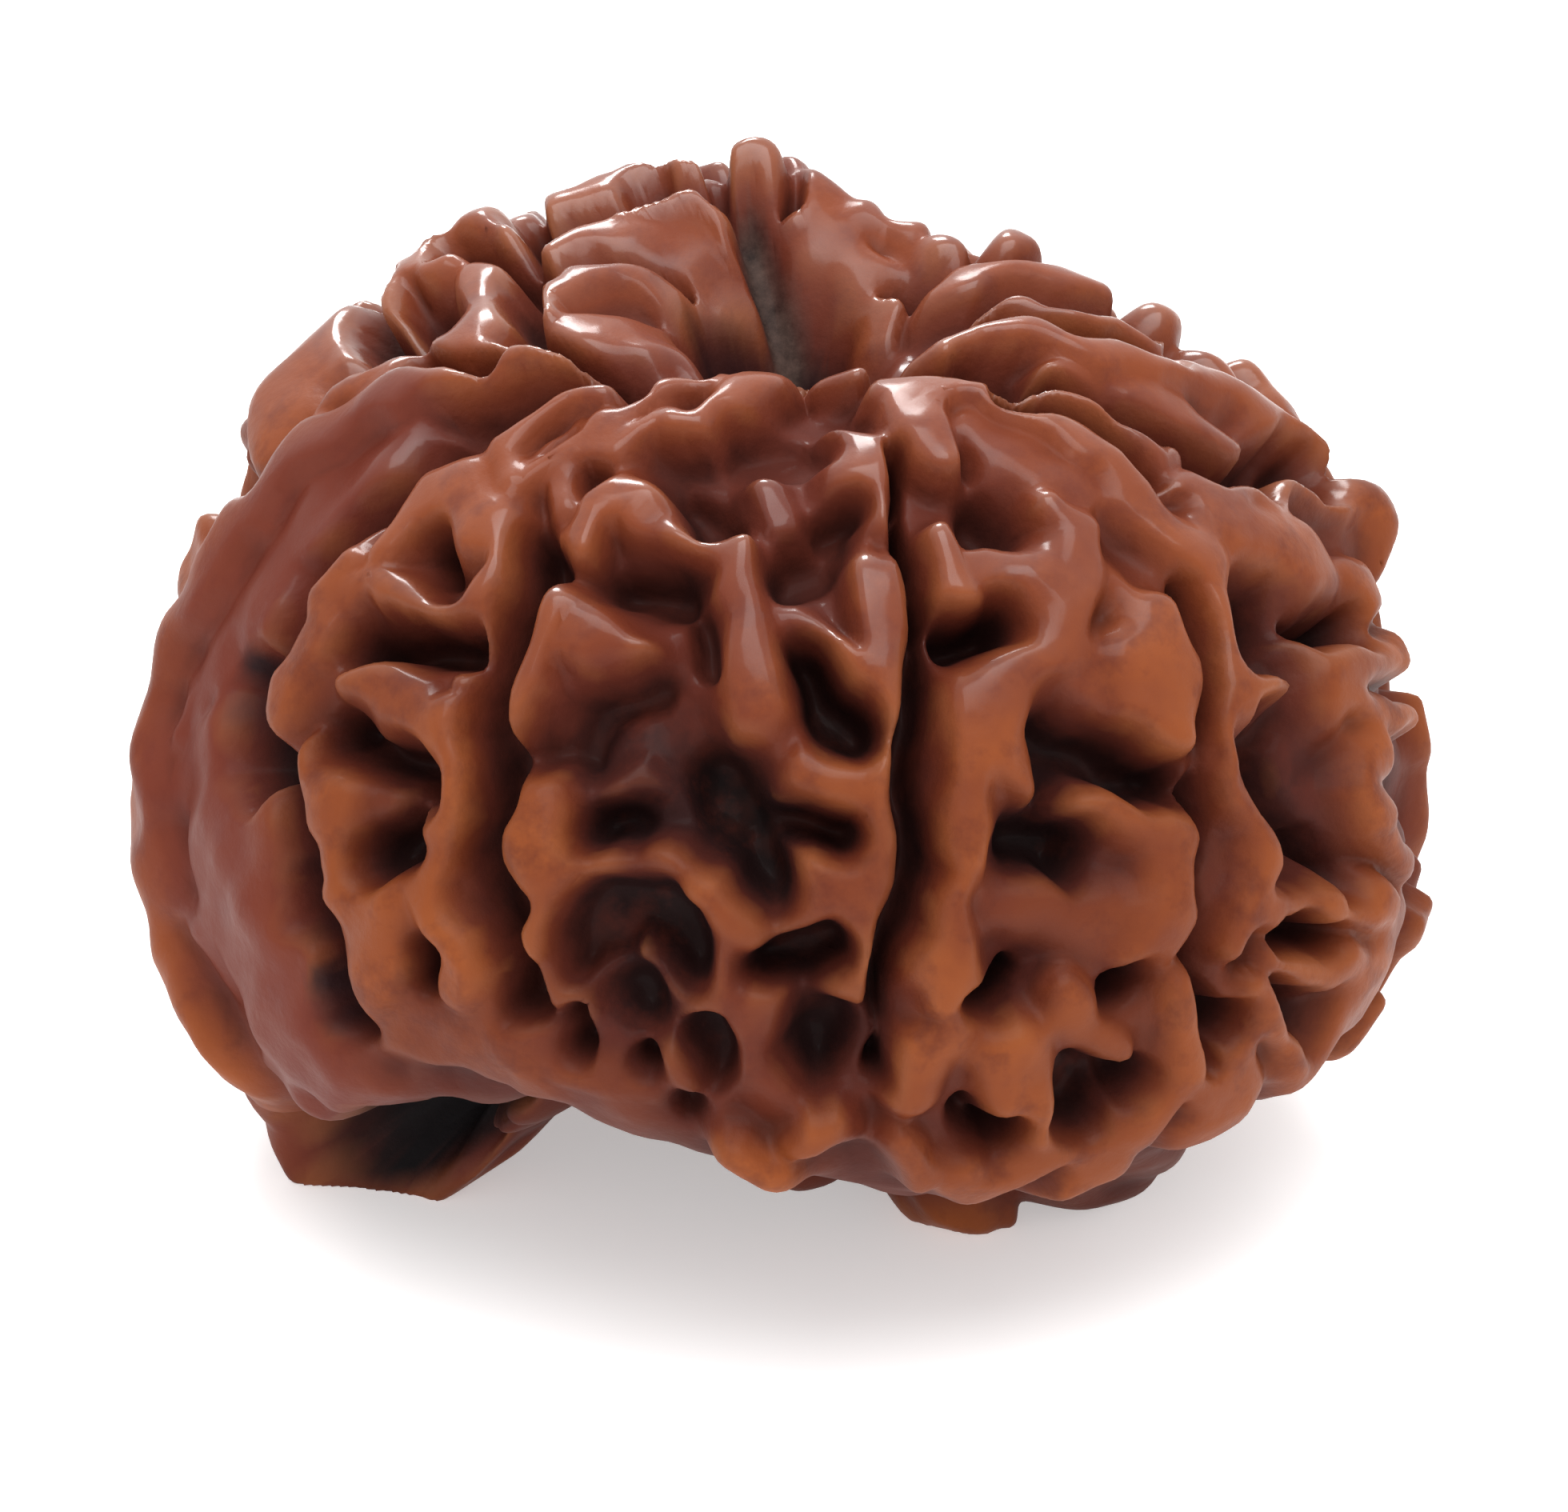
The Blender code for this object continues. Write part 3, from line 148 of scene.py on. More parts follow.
KNOB_CHANCE, KNOB_APART = 0.5, 5
KNOB_PLACE, KNOB_WIDTH, KNOB_LEVEL = (0.55, 1.0), (0.45, 0.7), -0.15
PIT_ASIDE, PIT_WIDTH, PIT_LEVEL = 0.2, (0.4, 0.6), (-2.2, -1.7)
SIDE_SWAP_CHANCE = 0.8

# Swellings and dents of the body: degrees round, degrees from the crown, reach in degrees, height in mm.
SWELLINGS = (
    (180, 22, 15, 1.4),    # lobes behind the crown pit
    (-172, 20, 8, 0.7),
    (0, 14, 14, -0.6),     # near rim of the crown pit
    (0, 0, 13, -3.6),      # crown pit
    (-115, 42, 15, 1.1),   # left shoulder
    (-140, 30, 12, 0.5),
    (-100, 58, 10, 1.0),
    (165, 27, 12, -1.2),
    (-90, 95, 25, 0.3),
    (-25, 116, 15, -4.2),  # arch at the front
    (-44, 133, 9, -1.8),
    (0, 120, 13, -2.2),
    (-36, 143, 13, -1.9),
    (-74, 146, 12, -1.6),
    (-71, 131, 9, 2.0),    # left foot
    (30, 123, 14, -1.3),
    (66, 118, 13, -0.9),
    (46, 143, 12, 0.5),    # right foot
    (-150, 138, 13, 0.8),  # hind feet
    (140, 138, 13, 0.7),
    (95, 62, 9, 0.5),      # right shoulder
    (84, 98, 20, 0.55),    # right flank
    (58, 126, 13, 0.75),
    (-78, 124, 8, 1.0),
    (-99, 61, 4, -1.4),    # notch behind the left lobe
    (-66, 140, 6, -0.7),
    (8, 128, 9, -0.5),
    (82, 104, 9, -0.7),
    (62, 133, 11, 0.95),
    (0, 180, 22, -0.8),    # hollow underneath
)

# Lines drawn on the front, in mm right of the axis and above the widest ring.
# Each has its half widths, its level against the body and its points.
RIDGES = [
    # great lip of the left cleft
    ((0.3, 0.35, 0.4, 0.45, 0.5), 0.5,
     [(-4.6, 9.2), (-7, 8.75), (-9, 7.9), (-10.5, 6.7), (-11.5, 5.2)]),
    ((0.5, 0.55, 0.6, 0.6), 0.5, [(-11.5, 5.2), (-12.5, 3.6), (-13.2, 1.2), (-13.3, 0)]),
    ((0.7, 0.7, 0.7, 0.7, 0.7), 0.4,
     [(-13.3, 0), (-13.2, -1.5), (-12.7, -3.7), (-11.7, -5.6), (-10.6, -6.9)]),
    ((0.7, 0.7, 0.5, 0.35), 0.5, [(-10.6, -6.9), (-9.6, -7.7), (-8.3, -8.1), (-6.8, -7.9)]),
    ((1.0, 1.3, 1.6, 1.7, 1.7, 1.6, 1.5, 1.3, 1.1), -0.15,
     [(-9.0, 7.1), (-10.6, 5.4), (-11.8, 3.2), (-12.3, 1.2), (-12.2, -0.8), (-11.7, -2.8),
      (-11.0, -4.4), (-10.4, -5.8), (-9.8, -6.8)]),
    # segment left of centre
    ((0.3, 0.35, 0.45, 0.55, 0.4), 0.05,
     [(-9.3, 5.0), (-9.85, 4.4), (-10.1, 3.5), (-10.5, 2.7), (-11.0, 2.1)]),
    ((0.4, 0.6, 0.8, 0.7, 0.45), 0.1,
     [(-8.5, 5.3), (-8.1, 6.1), (-7.2, 6.3), (-6.5, 5.9), (-5.9, 5.5)]),
    ((0.3, 0.3, 0.3), 0.0, [(-9.4, 4.45), (-8.4, 4.35), (-7.35, 4.05)]),
    ((0.4, 0.6, 0.6), 0.2, [(-5.7, 5.0), (-6.15, 4.4), (-6.4, 3.9)]),
    ((0.45, 0.6, 0.6, 0.5), -0.05, [(-9.3, 2.6), (-8.7, 2.5), (-8.2, 1.9), (-7.7, 1.3)]),
    ((0.3,), -0.1, [(-6.85, 2.6)]),
    ((0.45, 0.55, 0.5, 0.45, 0.35, 0.35, 0.4, 0.4), 0.1,
     [(-7.15, 1.8), (-7.0, 0.9), (-7.15, -0.2), (-7.65, -1.1), (-7.8, -1.7), (-7.6, -2.3),
      (-7.3, -2.9), (-7.15, -4.0)]),
    ((0.4, 0.7, 0.6), 0.0, [(-10.3, 1.0), (-9.9, 0.2), (-9.8, -0.8)]),
    ((0.3, 0.3), -0.5, [(-9.2, -0.2), (-7.9, -0.3)]),
    ((0.5, 0.9, 0.9, 0.6), -0.05, [(-9.7, -1.9), (-9.0, -2.6), (-8.8, -3.3), (-8.9, -4.0)]),
    ((0.7, 1.0, 0.8), -0.4, [(-9.0, -4.7), (-8.1, -5.0), (-7.0, -5.1)]),
    ((0.3, 0.3, 0.4), -0.3, [(-6.4, -4.4), (-5.9, -5.2), (-5.5, -6.2)]),
    # centre segment
    ((0.35, 0.45, 0.5, 0.5, 0.5, 0.6, 0.7, 0.7, 0.55, 0.45), 0.1,
     [(-4.6, 4.8), (-5.0, 4.2), (-5.35, 3.2), (-5.6, 2.2), (-5.7, 1.2), (-5.6, 0.2), (-5.5, -0.6),
      (-5.4, -1.4), (-5.35, -2.2), (-5.5, -3.0)]),
    ((0.6, 0.65, 0.5), -0.05, [(-4.9, 3.6), (-4.2, 3.35), (-3.5, 3.2)]),
    ((0.3, 0.45, 0.5, 0.45, 0.35, 0.3, 0.25), 0.1,
     [(-4.5, 5.2), (-4.15, 6.1), (-3.55, 6.35), (-3.0, 6.1), (-2.5, 5.8), (-1.9, 5.6), (-1.4, 5.4)]),
    ((0.25, 0.35, 0.5, 0.65, 0.7, 0.5), 0.1,
     [(-1.1, 5.4), (-1.05, 4.8), (-1.05, 3.8), (-1.0, 2.9), (-0.95, 2.1), (-0.9, 1.4)]),
    ((0.3, 0.5, 0.45), -0.35, [(-0.5, 4.2), (0.2, 3.7), (0.9, 3.4)]),
    ((0.35, 0.5, 0.6, 0.55, 0.45, 0.4, 0.45, 0.45, 0.45), 0.1,
     [(1.5, 5.8), (1.65, 5.0), (1.8, 4.2), (1.9, 3.0), (2.0, 2.2), (2.05, 1.3), (1.95, 0.4),
      (1.9, -0.6), (1.9, -1.6)]),
    ((0.4, 0.35), 0.15, [(1.0, 3.1), (1.5, 2.9)]),
    ((0.35, 0.45, 0.5), 0.0, [(0.25, 0.7), (0.95, 0.4), (1.7, 0.1)]),
    ((0.3, 0.3, 0.25), -0.75, [(-5.0, 0.2), (-4.2, 0.35), (-3.6, 0.1)]),
    ((0.45, 0.5, 0.45, 0.4, 0.35), -0.2,
     [(-4.9, -1.35), (-3.9, -1.4), (-2.8, -1.4), (-2.1, -1.9), (-1.5, -2.4)]),
    ((0.3, 0.35), -0.5, [(-3.3, -3.55), (-2.5, -4.0)]),
    ((0.5, 0.8, 0.75, 0.55), 0.0, [(0.2, -1.4), (0.9, -1.9), (1.5, -2.2), (1.6, -2.8)]),
    ((0.4, 0.45, 0.4), -0.1, [(-1.8, -2.2), (-1.4, -2.7), (-0.5, -2.9)]),
    ((0.45, 0.45, 0.5), -0.3, [(-1.6, -3.2), (-1.6, -4.3), (-1.9, -5.2)]),
    ((0.3, 0.4), 0.0, [(1.5, -3.4), (1.35, -4.1)]),
    ((0.35, 0.4, 0.4), -0.3, [(-0.6, -4.5), (-0.7, -5.2), (-1.5, -5.7)]),
    ((0.5,), -0.1, [(0.55, -6.9)]),
    ((0.4, 0.45), 0.3, [(-1.2, -7.4), (-0.4, -7.9)]),
    ((0.35, 0.4), 0.1, [(0.5, -6.8), (0.2, -7.3)]),
    ((0.4, 0.4, 0.3, 0.35), -0.4, [(-5.3, -3.4), (-5.2, -4.2), (-4.7, -4.8), (-4.9, -5.6)]),
    ((0.45, 0.5, 0.5, 0.4), -0.4, [(-5.2, -5.8), (-4, -6.1), (-3, -6.2), (-2, -6)]),
    # above the centre segment
    ((0.25, 0.3, 0.3, 0.35, 0.35), 0.1,
     [(-4.0, 8.6), (-4.8, 8.35), (-5.4, 8.0), (-5.95, 7.5), (-5.8, 6.9)]),
    ((0.2, 0.2), -0.2, [(-5.3, 7.5), (-4.6, 8.0)]),
    ((0.35, 0.35, 0.3, 0.3, 0.3), 0.0,
     [(-5.7, 7.0), (-4.6, 7.25), (-3.8, 7.4), (-3.3, 7.8), (-2.7, 8.1)]),
    ((0.25, 0.25, 0.25, 0.25), 0.0, [(-3.65, 8.1), (-3.2, 8.4), (-2.3, 8.7), (-1.5, 8.85)]),
    ((0.35, 0.4, 0.4, 0.4, 0.4, 0.35), 0.2,
     [(-2.1, 7.9), (-1.3, 8.3), (-0.6, 8.7), (0.1, 8.95), (0.7, 9.05), (1.1, 8.8)]),
    ((0.3, 0.3), -0.1, [(-4.8, 6.8), (-4.95, 6.2)]),
    ((0.6, 0.65, 0.55), -0.1, [(1.35, 7.5), (1.4, 7.0), (1.5, 6.4)]),
    ((0.35, 0.4, 0.4, 0.4), 0.2, [(1.8, 8.6), (2.3, 8.6), (2.6, 8.0), (3.1, 7.3)]),
    ((0.4, 0.4), -0.6, [(-0.6, 6.9), (-0.3, 6.2)]),
    # segment right of centre
    ((0.35, 0.45, 0.45), 0.15, [(3.2, 5.8), (3.5, 5.0), (3.6, 4.4)]),
    ((0.4, 0.35, 0.3), 0.0, [(5.0, 4.8), (4.4, 4.9), (3.9, 5.0)]),
    ((0.4, 0.55, 0.6, 0.55, 0.6, 0.7, 0.7, 0.65, 0.5, 0.4), 0.1,
     [(5.6, 6.2), (6.1, 5.7), (5.9, 4.9), (5.8, 4.1), (5.4, 3.1), (4.6, 2.5), (4.0, 1.7), (3.9, 0.6),
      (3.7, -0.5), (3.5, -1.2)]),
    ((0.6, 0.8, 0.85, 0.6), 0.15, [(7.5, 3.7), (7.6, 3.0), (7.8, 2.2), (8.0, 1.5)]),
    ((0.6,), -0.3, [(6.5, 2.7)]),
    ((0.4, 0.45, 0.5, 0.6, 0.55, 0.6, 0.65, 0.5), 0.05,
     [(4.8, 0.9), (5.6, 0.4), (6.7, -0.1), (7.8, -0.3), (8.3, -0.9), (8.2, -1.8), (7.8, -2.7),
      (7.4, -3.4)]),
    ((0.6, 0.7, 0.7), -0.45, [(4.7, -2.2), (5.7, -2.4), (6.7, -2.6)]),
    ((0.35, 0.55, 0.7, 0.45), 0.1, [(3.2, -2.2), (3.4, -3.0), (3.4, -3.7), (3.2, -4.3)]),
    ((0.4, 0.45, 0.5), 0.0, [(3.5, -4.9), (2.8, -5.4), (2.5, -6.3)]),
    ((0.55, 0.75, 0.65), 0.05, [(4.6, -5.4), (5.0, -6.1), (5.3, -6.8)]),
    ((0.35, 0.4, 0.35), -0.2, [(5.9, -4.1), (6.4, -4.8), (7.1, -5.4)]),
    ((0.5, 0.55, 0.45), 0.05, [(8.3, -4.0), (8.5, -4.8), (8.4, -5.8)]),
    ((0.35, 0.4, 0.35), -0.2, [(6.8, -6.6), (6.9, -7.2), (6.3, -7.7)]),
    ((0.4, 0.45, 0.5), -0.1, [(5.7, -7.6), (4.9, -7.9), (3.9, -8.2)]),
    ((0.4, 0.45), 0.0, [(2.3, -7.4), (2.7, -8.0)]),
    ((0.4, 0.45), -0.1, [(7.9, -6.6), (7.4, -7.3)]),
    ((0.45, 0.5), -0.1, [(9.6, -5.4), (8.8, -6.2)]),
    ((0.5, 0.55), 0.0, [(11.6, -4.6), (10.9, -5.6)]),
    ((0.5, 0.5), 0.0, [(12.6, -2.6), (12.2, -3.9)]),
    ((0.4, 0.4), 0.0, [(6.6, -7.9), (5.6, -8.3)]),
    ((0.4, 0.45), 0.0, [(9.3, -6.6), (8.4, -7.1)]),
    # right edge segment
    ((0.3, 0.35, 0.4, 0.4, 0.45, 0.5, 0.45, 0.4), 0.1,
     [(9.05, 4.2), (9.35, 3.4), (9.5, 2.0), (9.5, 0.6), (9.8, -0.5), (10.0, -1.3), (9.7, -2.3),
      (9.4, -3.1)]),
    ((0.3, 0.4, 0.4, 0.35), 0.15, [(9.6, 2.3), (10.6, 2.6), (11.7, 2.9), (12.7, 3.0)]),
    ((0.3, 0.3, 0.3), 0.1, [(11.5, 2.3), (12.2, 2.0), (12.9, 1.7)]),
    ((0.35, 0.45, 0.35), 0.2, [(12.3, 0.9), (12.0, 0.3), (12.4, -0.4)]),
    ((0.3, 0.35), 0.1, [(12.5, -0.9), (12.9, -1.4)]),
    ((0.4, 0.45, 0.4, 0.35), 0.15, [(9.8, -2.2), (10.7, -2.4), (11.6, -2.2), (12.5, -2.1)]),
    ((0.35, 0.4, 0.35), 0.1, [(10.2, -3.4), (11.1, -3.7), (12.2, -3.4)]),
    ((0.3, 0.35), 0.0, [(11.7, 4.7), (12.3, 4.1)]),
    ((0.25, 0.25, 0.25), 0.1, [(9.7, -4.0), (10.2, -4.8), (10.7, -5.4)]),
    ((0.5, 0.5), -0.1, [(9.5, -6.0), (8.9, -6.7)]),
    # upper right
    ((0.4, 0.4, 0.45, 0.45, 0.45, 0.4), 0.2,
     [(2.9, 8.5), (3.9, 8.55), (4.8, 8.2), (5.7, 7.8), (6.6, 7.2), (7.2, 6.5)]),
    ((0.5, 0.6, 0.5), -0.15, [(3.9, 7.9), (4.9, 7.4), (6.0, 6.8)]),
    ((0.25, 0.25, 0.25, 0.25, 0.25), 0.15,
     [(4.5, 8.65), (5.2, 8.7), (6.0, 8.4), (6.8, 8.0), (7.6, 7.55)]),
    ((0.25, 0.25), 0.0, [(7.3, 7.75), (8.3, 7.4)]),
    ((0.25, 0.25, 0.2), 0.0, [(7.8, 6.9), (8.5, 6.7), (8.9, 6.45)]),
    ((0.6, 0.7, 0.55), 0.1, [(7.7, 5.8), (8.2, 5.5), (8.6, 5.1)]),
    ((0.25, 0.3, 0.3, 0.3), 0.1, [(9.1, 6.2), (9.9, 6.55), (10.8, 6.5), (11.7, 6.4)]),
    ((0.6, 0.8, 0.6), 0.1, [(9.6, 5.5), (10.3, 5.3), (11.0, 5.0)]),
    ((0.5,), 0.5, [(12.1, 6.0)]),
    ((0.5,), 0.1, [(12.0, 4.3)]),
    ((0.3, 0.3, 0.35, 0.35, 0.4, 0.4, 0.4, 0.45, 0.4), 0.35,
     [(3.2, 9.4), (3.9, 9.65), (4.7, 9.75), (5.4, 9.6), (6.3, 9.2), (7.3, 9.0), (8.4, 8.85),
      (9.5, 8.2), (11.0, 7.2)]),
    ((0.5, 0.6, 0.7, 0.6), 0.0, [(5.6, 9.1), (6.8, 8.6), (8.2, 8.0), (9.4, 7.4)]),
    ((0.45,), 0.25, [(8.9, 8.9)]),
    ((0.5,), 0.2, [(10.5, 7.9)]),
    ((0.2, 0.25), 0.0, [(3.2, 9.0), (4.4, 9.15)]),
    ((0.2, 0.25, 0.25, 0.3), 0.2, [(4.1, 10.3), (5.4, 10.1), (6.5, 9.8), (7.6, 9.6)]),
    ((0.3, 0.3, 0.35, 0.35), 0.2, [(2.9, 10.6), (4.0, 11.0), (5.2, 10.95), (6.4, 10.6)]),
    ((0.4,), 0.5, [(4.7, 11.4)]),
    ((0.45,), 0.4, [(7.6, 10.0)]),
    ((0.4,), 0.3, [(3.0, 11.4)]),
    ((0.35,), 0.4, [(9.5, 8.6)]),
    # far lobes
    ((0.3, 0.35, 0.45, 0.5, 0.45, 0.4, 0.35), 0.25,
     [(-3.4, 12.0), (-2.9, 12.3), (-2.45, 12.5), (-2.0, 12.6), (-1.6, 12.4), (-1.25, 12.0),
      (-1.05, 11.4)]),
    ((0.9, 1.1, 0.9), -0.05, [(-2.2, 11.7), (-1.9, 11.0), (-1.5, 10.4)]),
    ((0.4, 0.45, 0.45), 0.15, [(-5.0, 11.5), (-4.3, 11.75), (-3.5, 11.75)]),
    ((0.4, 0.45, 0.45, 0.4, 0.4), 0.3,
     [(-5.3, 10.1), (-5.1, 10.6), (-4.4, 10.8), (-3.6, 10.8), (-2.7, 10.5)]),
    ((0.6, 0.8, 0.7), 0.0, [(-4.7, 10.0), (-3.7, 9.9), (-2.8, 9.6)]),
    ((0.25, 0.25, 0.25, 0.25), 0.15, [(-8.1, 9.1), (-7.6, 9.4), (-7.0, 9.45), (-6.0, 9.35)]),
    ((0.25, 0.25, 0.25, 0.25), 0.1, [(-5.9, 9.05), (-5.35, 9.4), (-4.9, 9.45), (-4.2, 9.2)]),
    ((0.7, 0.7), 0.15, [(-6.35, 10.9), (-6.35, 9.9)]),
    ((0.3, 0.3, 0.3, 0.35, 0.35), 0.2,
     [(-8.7, 9.8), (-8.5, 10.3), (-8.3, 10.9), (-7.7, 11.2), (-7.2, 11.1)]),
    ((0.6, 0.9, 1.0, 0.9, 0.6), 0.2,
     [(-9.3, 10.0), (-9.9, 9.4), (-10.3, 8.8), (-10.5, 8.2), (-10.6, 7.6)]),
    ((0.4, 0.4), 0.35, [(-9.3, 8.35), (-8.6, 8.6)]),
    ((0.5, 0.5), 0.4, [(-12.0, 5.4), (-12.4, 4.6)]),
    ((0.7,), 0.5, [(-6.2, 11.9)]),
    ((0.5, 0.5), 0.3, [(-5.0, 12.3), (-4.4, 12.45)]),
    ((0.35, 0.35, 0.35), 0.3, [(-3.9, 12.7), (-3.4, 12.95), (-2.8, 12.95)]),
    ((0.3, 0.3), 0.35, [(-2.6, 13.0), (-2.0, 13.15)]),
    ((0.35, 0.4, 0.35), 0.35, [(-1.4, 13.2), (-0.9, 13.3), (-0.3, 13.2)]),
    ((0.35, 0.4, 0.4, 0.4), 0.1, [(0.2, 12.9), (0.6, 12.9), (1.0, 12.6), (1.5, 12.2)]),
    ((0.6, 0.8, 0.8, 0.7), 0.1, [(0.6, 12.2), (1.1, 11.5), (1.6, 10.8), (1.7, 10.1)]),
    ((0.35, 0.35), 0.3, [(1.9, 12.0), (2.6, 11.8)]),
]

# Pits, each with its half width, its level and its points, in mm as above.
PITS = [
    (0.25, -1.6, [(-8.75, 10.6), (-8.95, 9.9), (-8.6, 9.2)]),
    (0.4, -2.0, [(-7.8, 10.55), (-7.7, 9.8)]),
    (0.22, -1.6, [(-5.55, 11.1), (-5.6, 10.0), (-5.8, 9.6)]),
    (0.25, -1.4, [(-7.1, 11.45), (-6.2, 11.4), (-5.5, 11.2), (-5.1, 10.95)]),
    (0.22, -1.5, [(-5.5, 12.3), (-5.35, 11.7)]),
    (0.25, -1.4, [(-5.1, 11.9), (-4.3, 12.15), (-3.5, 12.3), (-2.9, 12.65)]),
    (0.2, -1.3, [(-5.3, 10.9), (-4.9, 11.15), (-4.0, 11.25), (-3.1, 11.15), (-2.5, 10.8)]),
    (0.25, -1.5, [(-5.6, 9.65), (-4.8, 9.5), (-3.9, 9.2), (-3.0, 9.05), (-2.0, 8.95)]),
    (0.2, -1.5, [(-7.6, 9.15), (-6.9, 9.15), (-6.2, 9.05)]),
    (0.2, -1.3, [(-2.7, 12.8), (-2.0, 12.95), (-1.4, 12.75)]),
    (0.5, -2.2, [(-1.7, 9.75), (-1.1, 9.5)]),
    (0.25, -1.0, [(-3.2, 12.75), (-2.75, 12.95)]),
    (0.22, -1.2, [(-1.75, 13.3), (-1.65, 12.8)]),
    (0.2, -1.1, [(-0.1, 13.3), (-0.05, 12.8)]),
    (0.5, -1.8, [(-0.3, 9.6), (0.6, 9.5)]),
    (0.3, -1.5, [(2.2, 10.75), (2.7, 10.8)]),
    (0.22, -1.5, [(3.3, 10.2), (3.9, 10.35), (4.85, 10.55), (5.8, 10.4), (6.75, 10.1), (7.3, 9.8)]),
    (0.22, -1.5, [(3.1, 9.75), (3.8, 9.95), (4.85, 10.05), (5.8, 9.85), (6.8, 9.45), (7.7, 9.2)]),
    (0.22, -1.5, [(2.9, 8.95), (3.7, 9.25), (4.85, 9.25)]),
    (0.25, -1.7, [(3.6, 8.85), (4.85, 8.9), (5.8, 8.75), (6.75, 8.35), (7.55, 7.95), (8.6, 7.4),
                  (9.3, 6.9)]),
    (0.2, -1.5, [(4.4, 8.45), (5.3, 8.3), (6.1, 7.95), (6.9, 7.5), (7.6, 7.0)]),
    (0.4, -1.9, [(-7.7, 5.25)]),
    (0.3, -2.0, [(-9.4, 3.4), (-8.3, 3.4), (-7.0, 3.3)]),
    (0.35, -1.9, [(-10.0, 1.35), (-9.0, 0.95), (-8.1, 0.4)]),
    (0.4, -1.9, [(-9.0, -1.2), (-8.3, -1.0)]),
    (0.3, -1.9, [(-7.85, -3.1), (-7.85, -3.8)]),
    (0.4, -1.9, [(-6.3, -1.9), (-5.95, -2.3)]),
    (0.5, -1.9, [(-3.7, 4.75), (-2.5, 4.65)]),
    (0.3, -1.6, [(-2.0, 4.0), (-2.0, 3.0)]),
    (0.4, -2.2, [(0.25, 2.9), (0.6, 2.2), (1.3, 1.5)]),
    (0.6, -1.9, [(0.3, 5.3)]),
    (0.9, -1.45, [(-4.1, 1.5), (-3.0, 1.9), (-2.4, 1.1)]),
    (0.3, -1.9, [(-4.7, 1.0), (-4.2, 2.0), (-3.2, 2.5)]),
    (0.75, -2.5, [(-1.5, 0.3), (-1.1, -0.4)]),
    (0.4, -2.1, [(-0.8, -0.3), (0.3, -0.4), (1.1, -0.75)]),
    (0.5, -2.3, [(-1.0, -0.6), (-0.7, -1.6)]),
    (0.5, -1.6, [(-1.8, 0.0), (-3.2, -0.2)]),
    (0.4, -2.0, [(-3.7, -0.4), (-4.3, -0.55)]),
    (0.5, -2.0, [(-3.9, -2.7), (-3.2, -2.5), (-2.6, -3.0), (-2.3, -3.6)]),
    (0.3, -1.9, [(-4.4, -2.8), (-4.8, -3.8)]),
    (0.33, -2.0, [(-0.6, -3.8), (0.2, -3.4), (1.0, -3.1)]),
    (0.7, -2.1, [(0.65, -5.6)]),
    (0.6, -2.0, [(-3.6, -4.7)]),
    (0.3, -1.7, [(-4.9, -4.9), (-4.7, -5.5)]),
    (0.35, -1.7, [(-3.3, -5.9)]),
    (0.35, -1.7, [(-1.9, -5.2), (-1.7, -5.9)]),
    (0.3, -1.5, [(-2.4, -6.9)]),
    (0.4, -1.9, [(-2.4, 6.8), (-1.6, 6.2)]),
    (0.5, -1.4, [(-0.9, 7.7), (0.0, 7.8)]),
    (0.35, -1.8, [(0.7, 6.2), (1.2, 6.4)]),
    (0.45, -1.9, [(4.4, 6.0)]),
    (0.35, -2.1, [(3.7, 3.6), (4.6, 3.8)]),
    (0.4, -2.0, [(5.8, 1.4), (6.6, 0.9), (7.5, 0.55), (8.3, 0.4)]),
    (0.5, -2.1, [(5.2, -1.0), (6.2, -1.25)]),
    (0.25, -2.3, [(4.2, -4.4), (4.9, -3.7)]),
    (0.45, -1.9, [(6.1, -6.1), (6.5, -6.6)]),
    (0.35, -1.8, [(7.4, -6.2)]),
    (0.3, -2.0, [(3.8, -6.9), (4.6, -7.3)]),
    (0.45, -1.8, [(7.2, -4.3)]),
    (0.55, -2.2, [(10.3, 4.1), (10.2, 3.4)]),
    (0.25, -1.8, [(11.2, 3.6), (12.0, 3.7)]),
    (0.7, -2.3, [(10.5, 1.2), (10.8, 0.3), (11.0, -0.8)]),
    (0.3, -1.9, [(11.6, -1.1), (11.9, -1.6)]),
    (0.25, -1.8, [(10.4, -3.0), (11.6, -2.9)]),
    (0.4, -2.0, [(10.8, -4.5)]),
    (0.3, -1.6, [(9.35, -4.8)]),
]

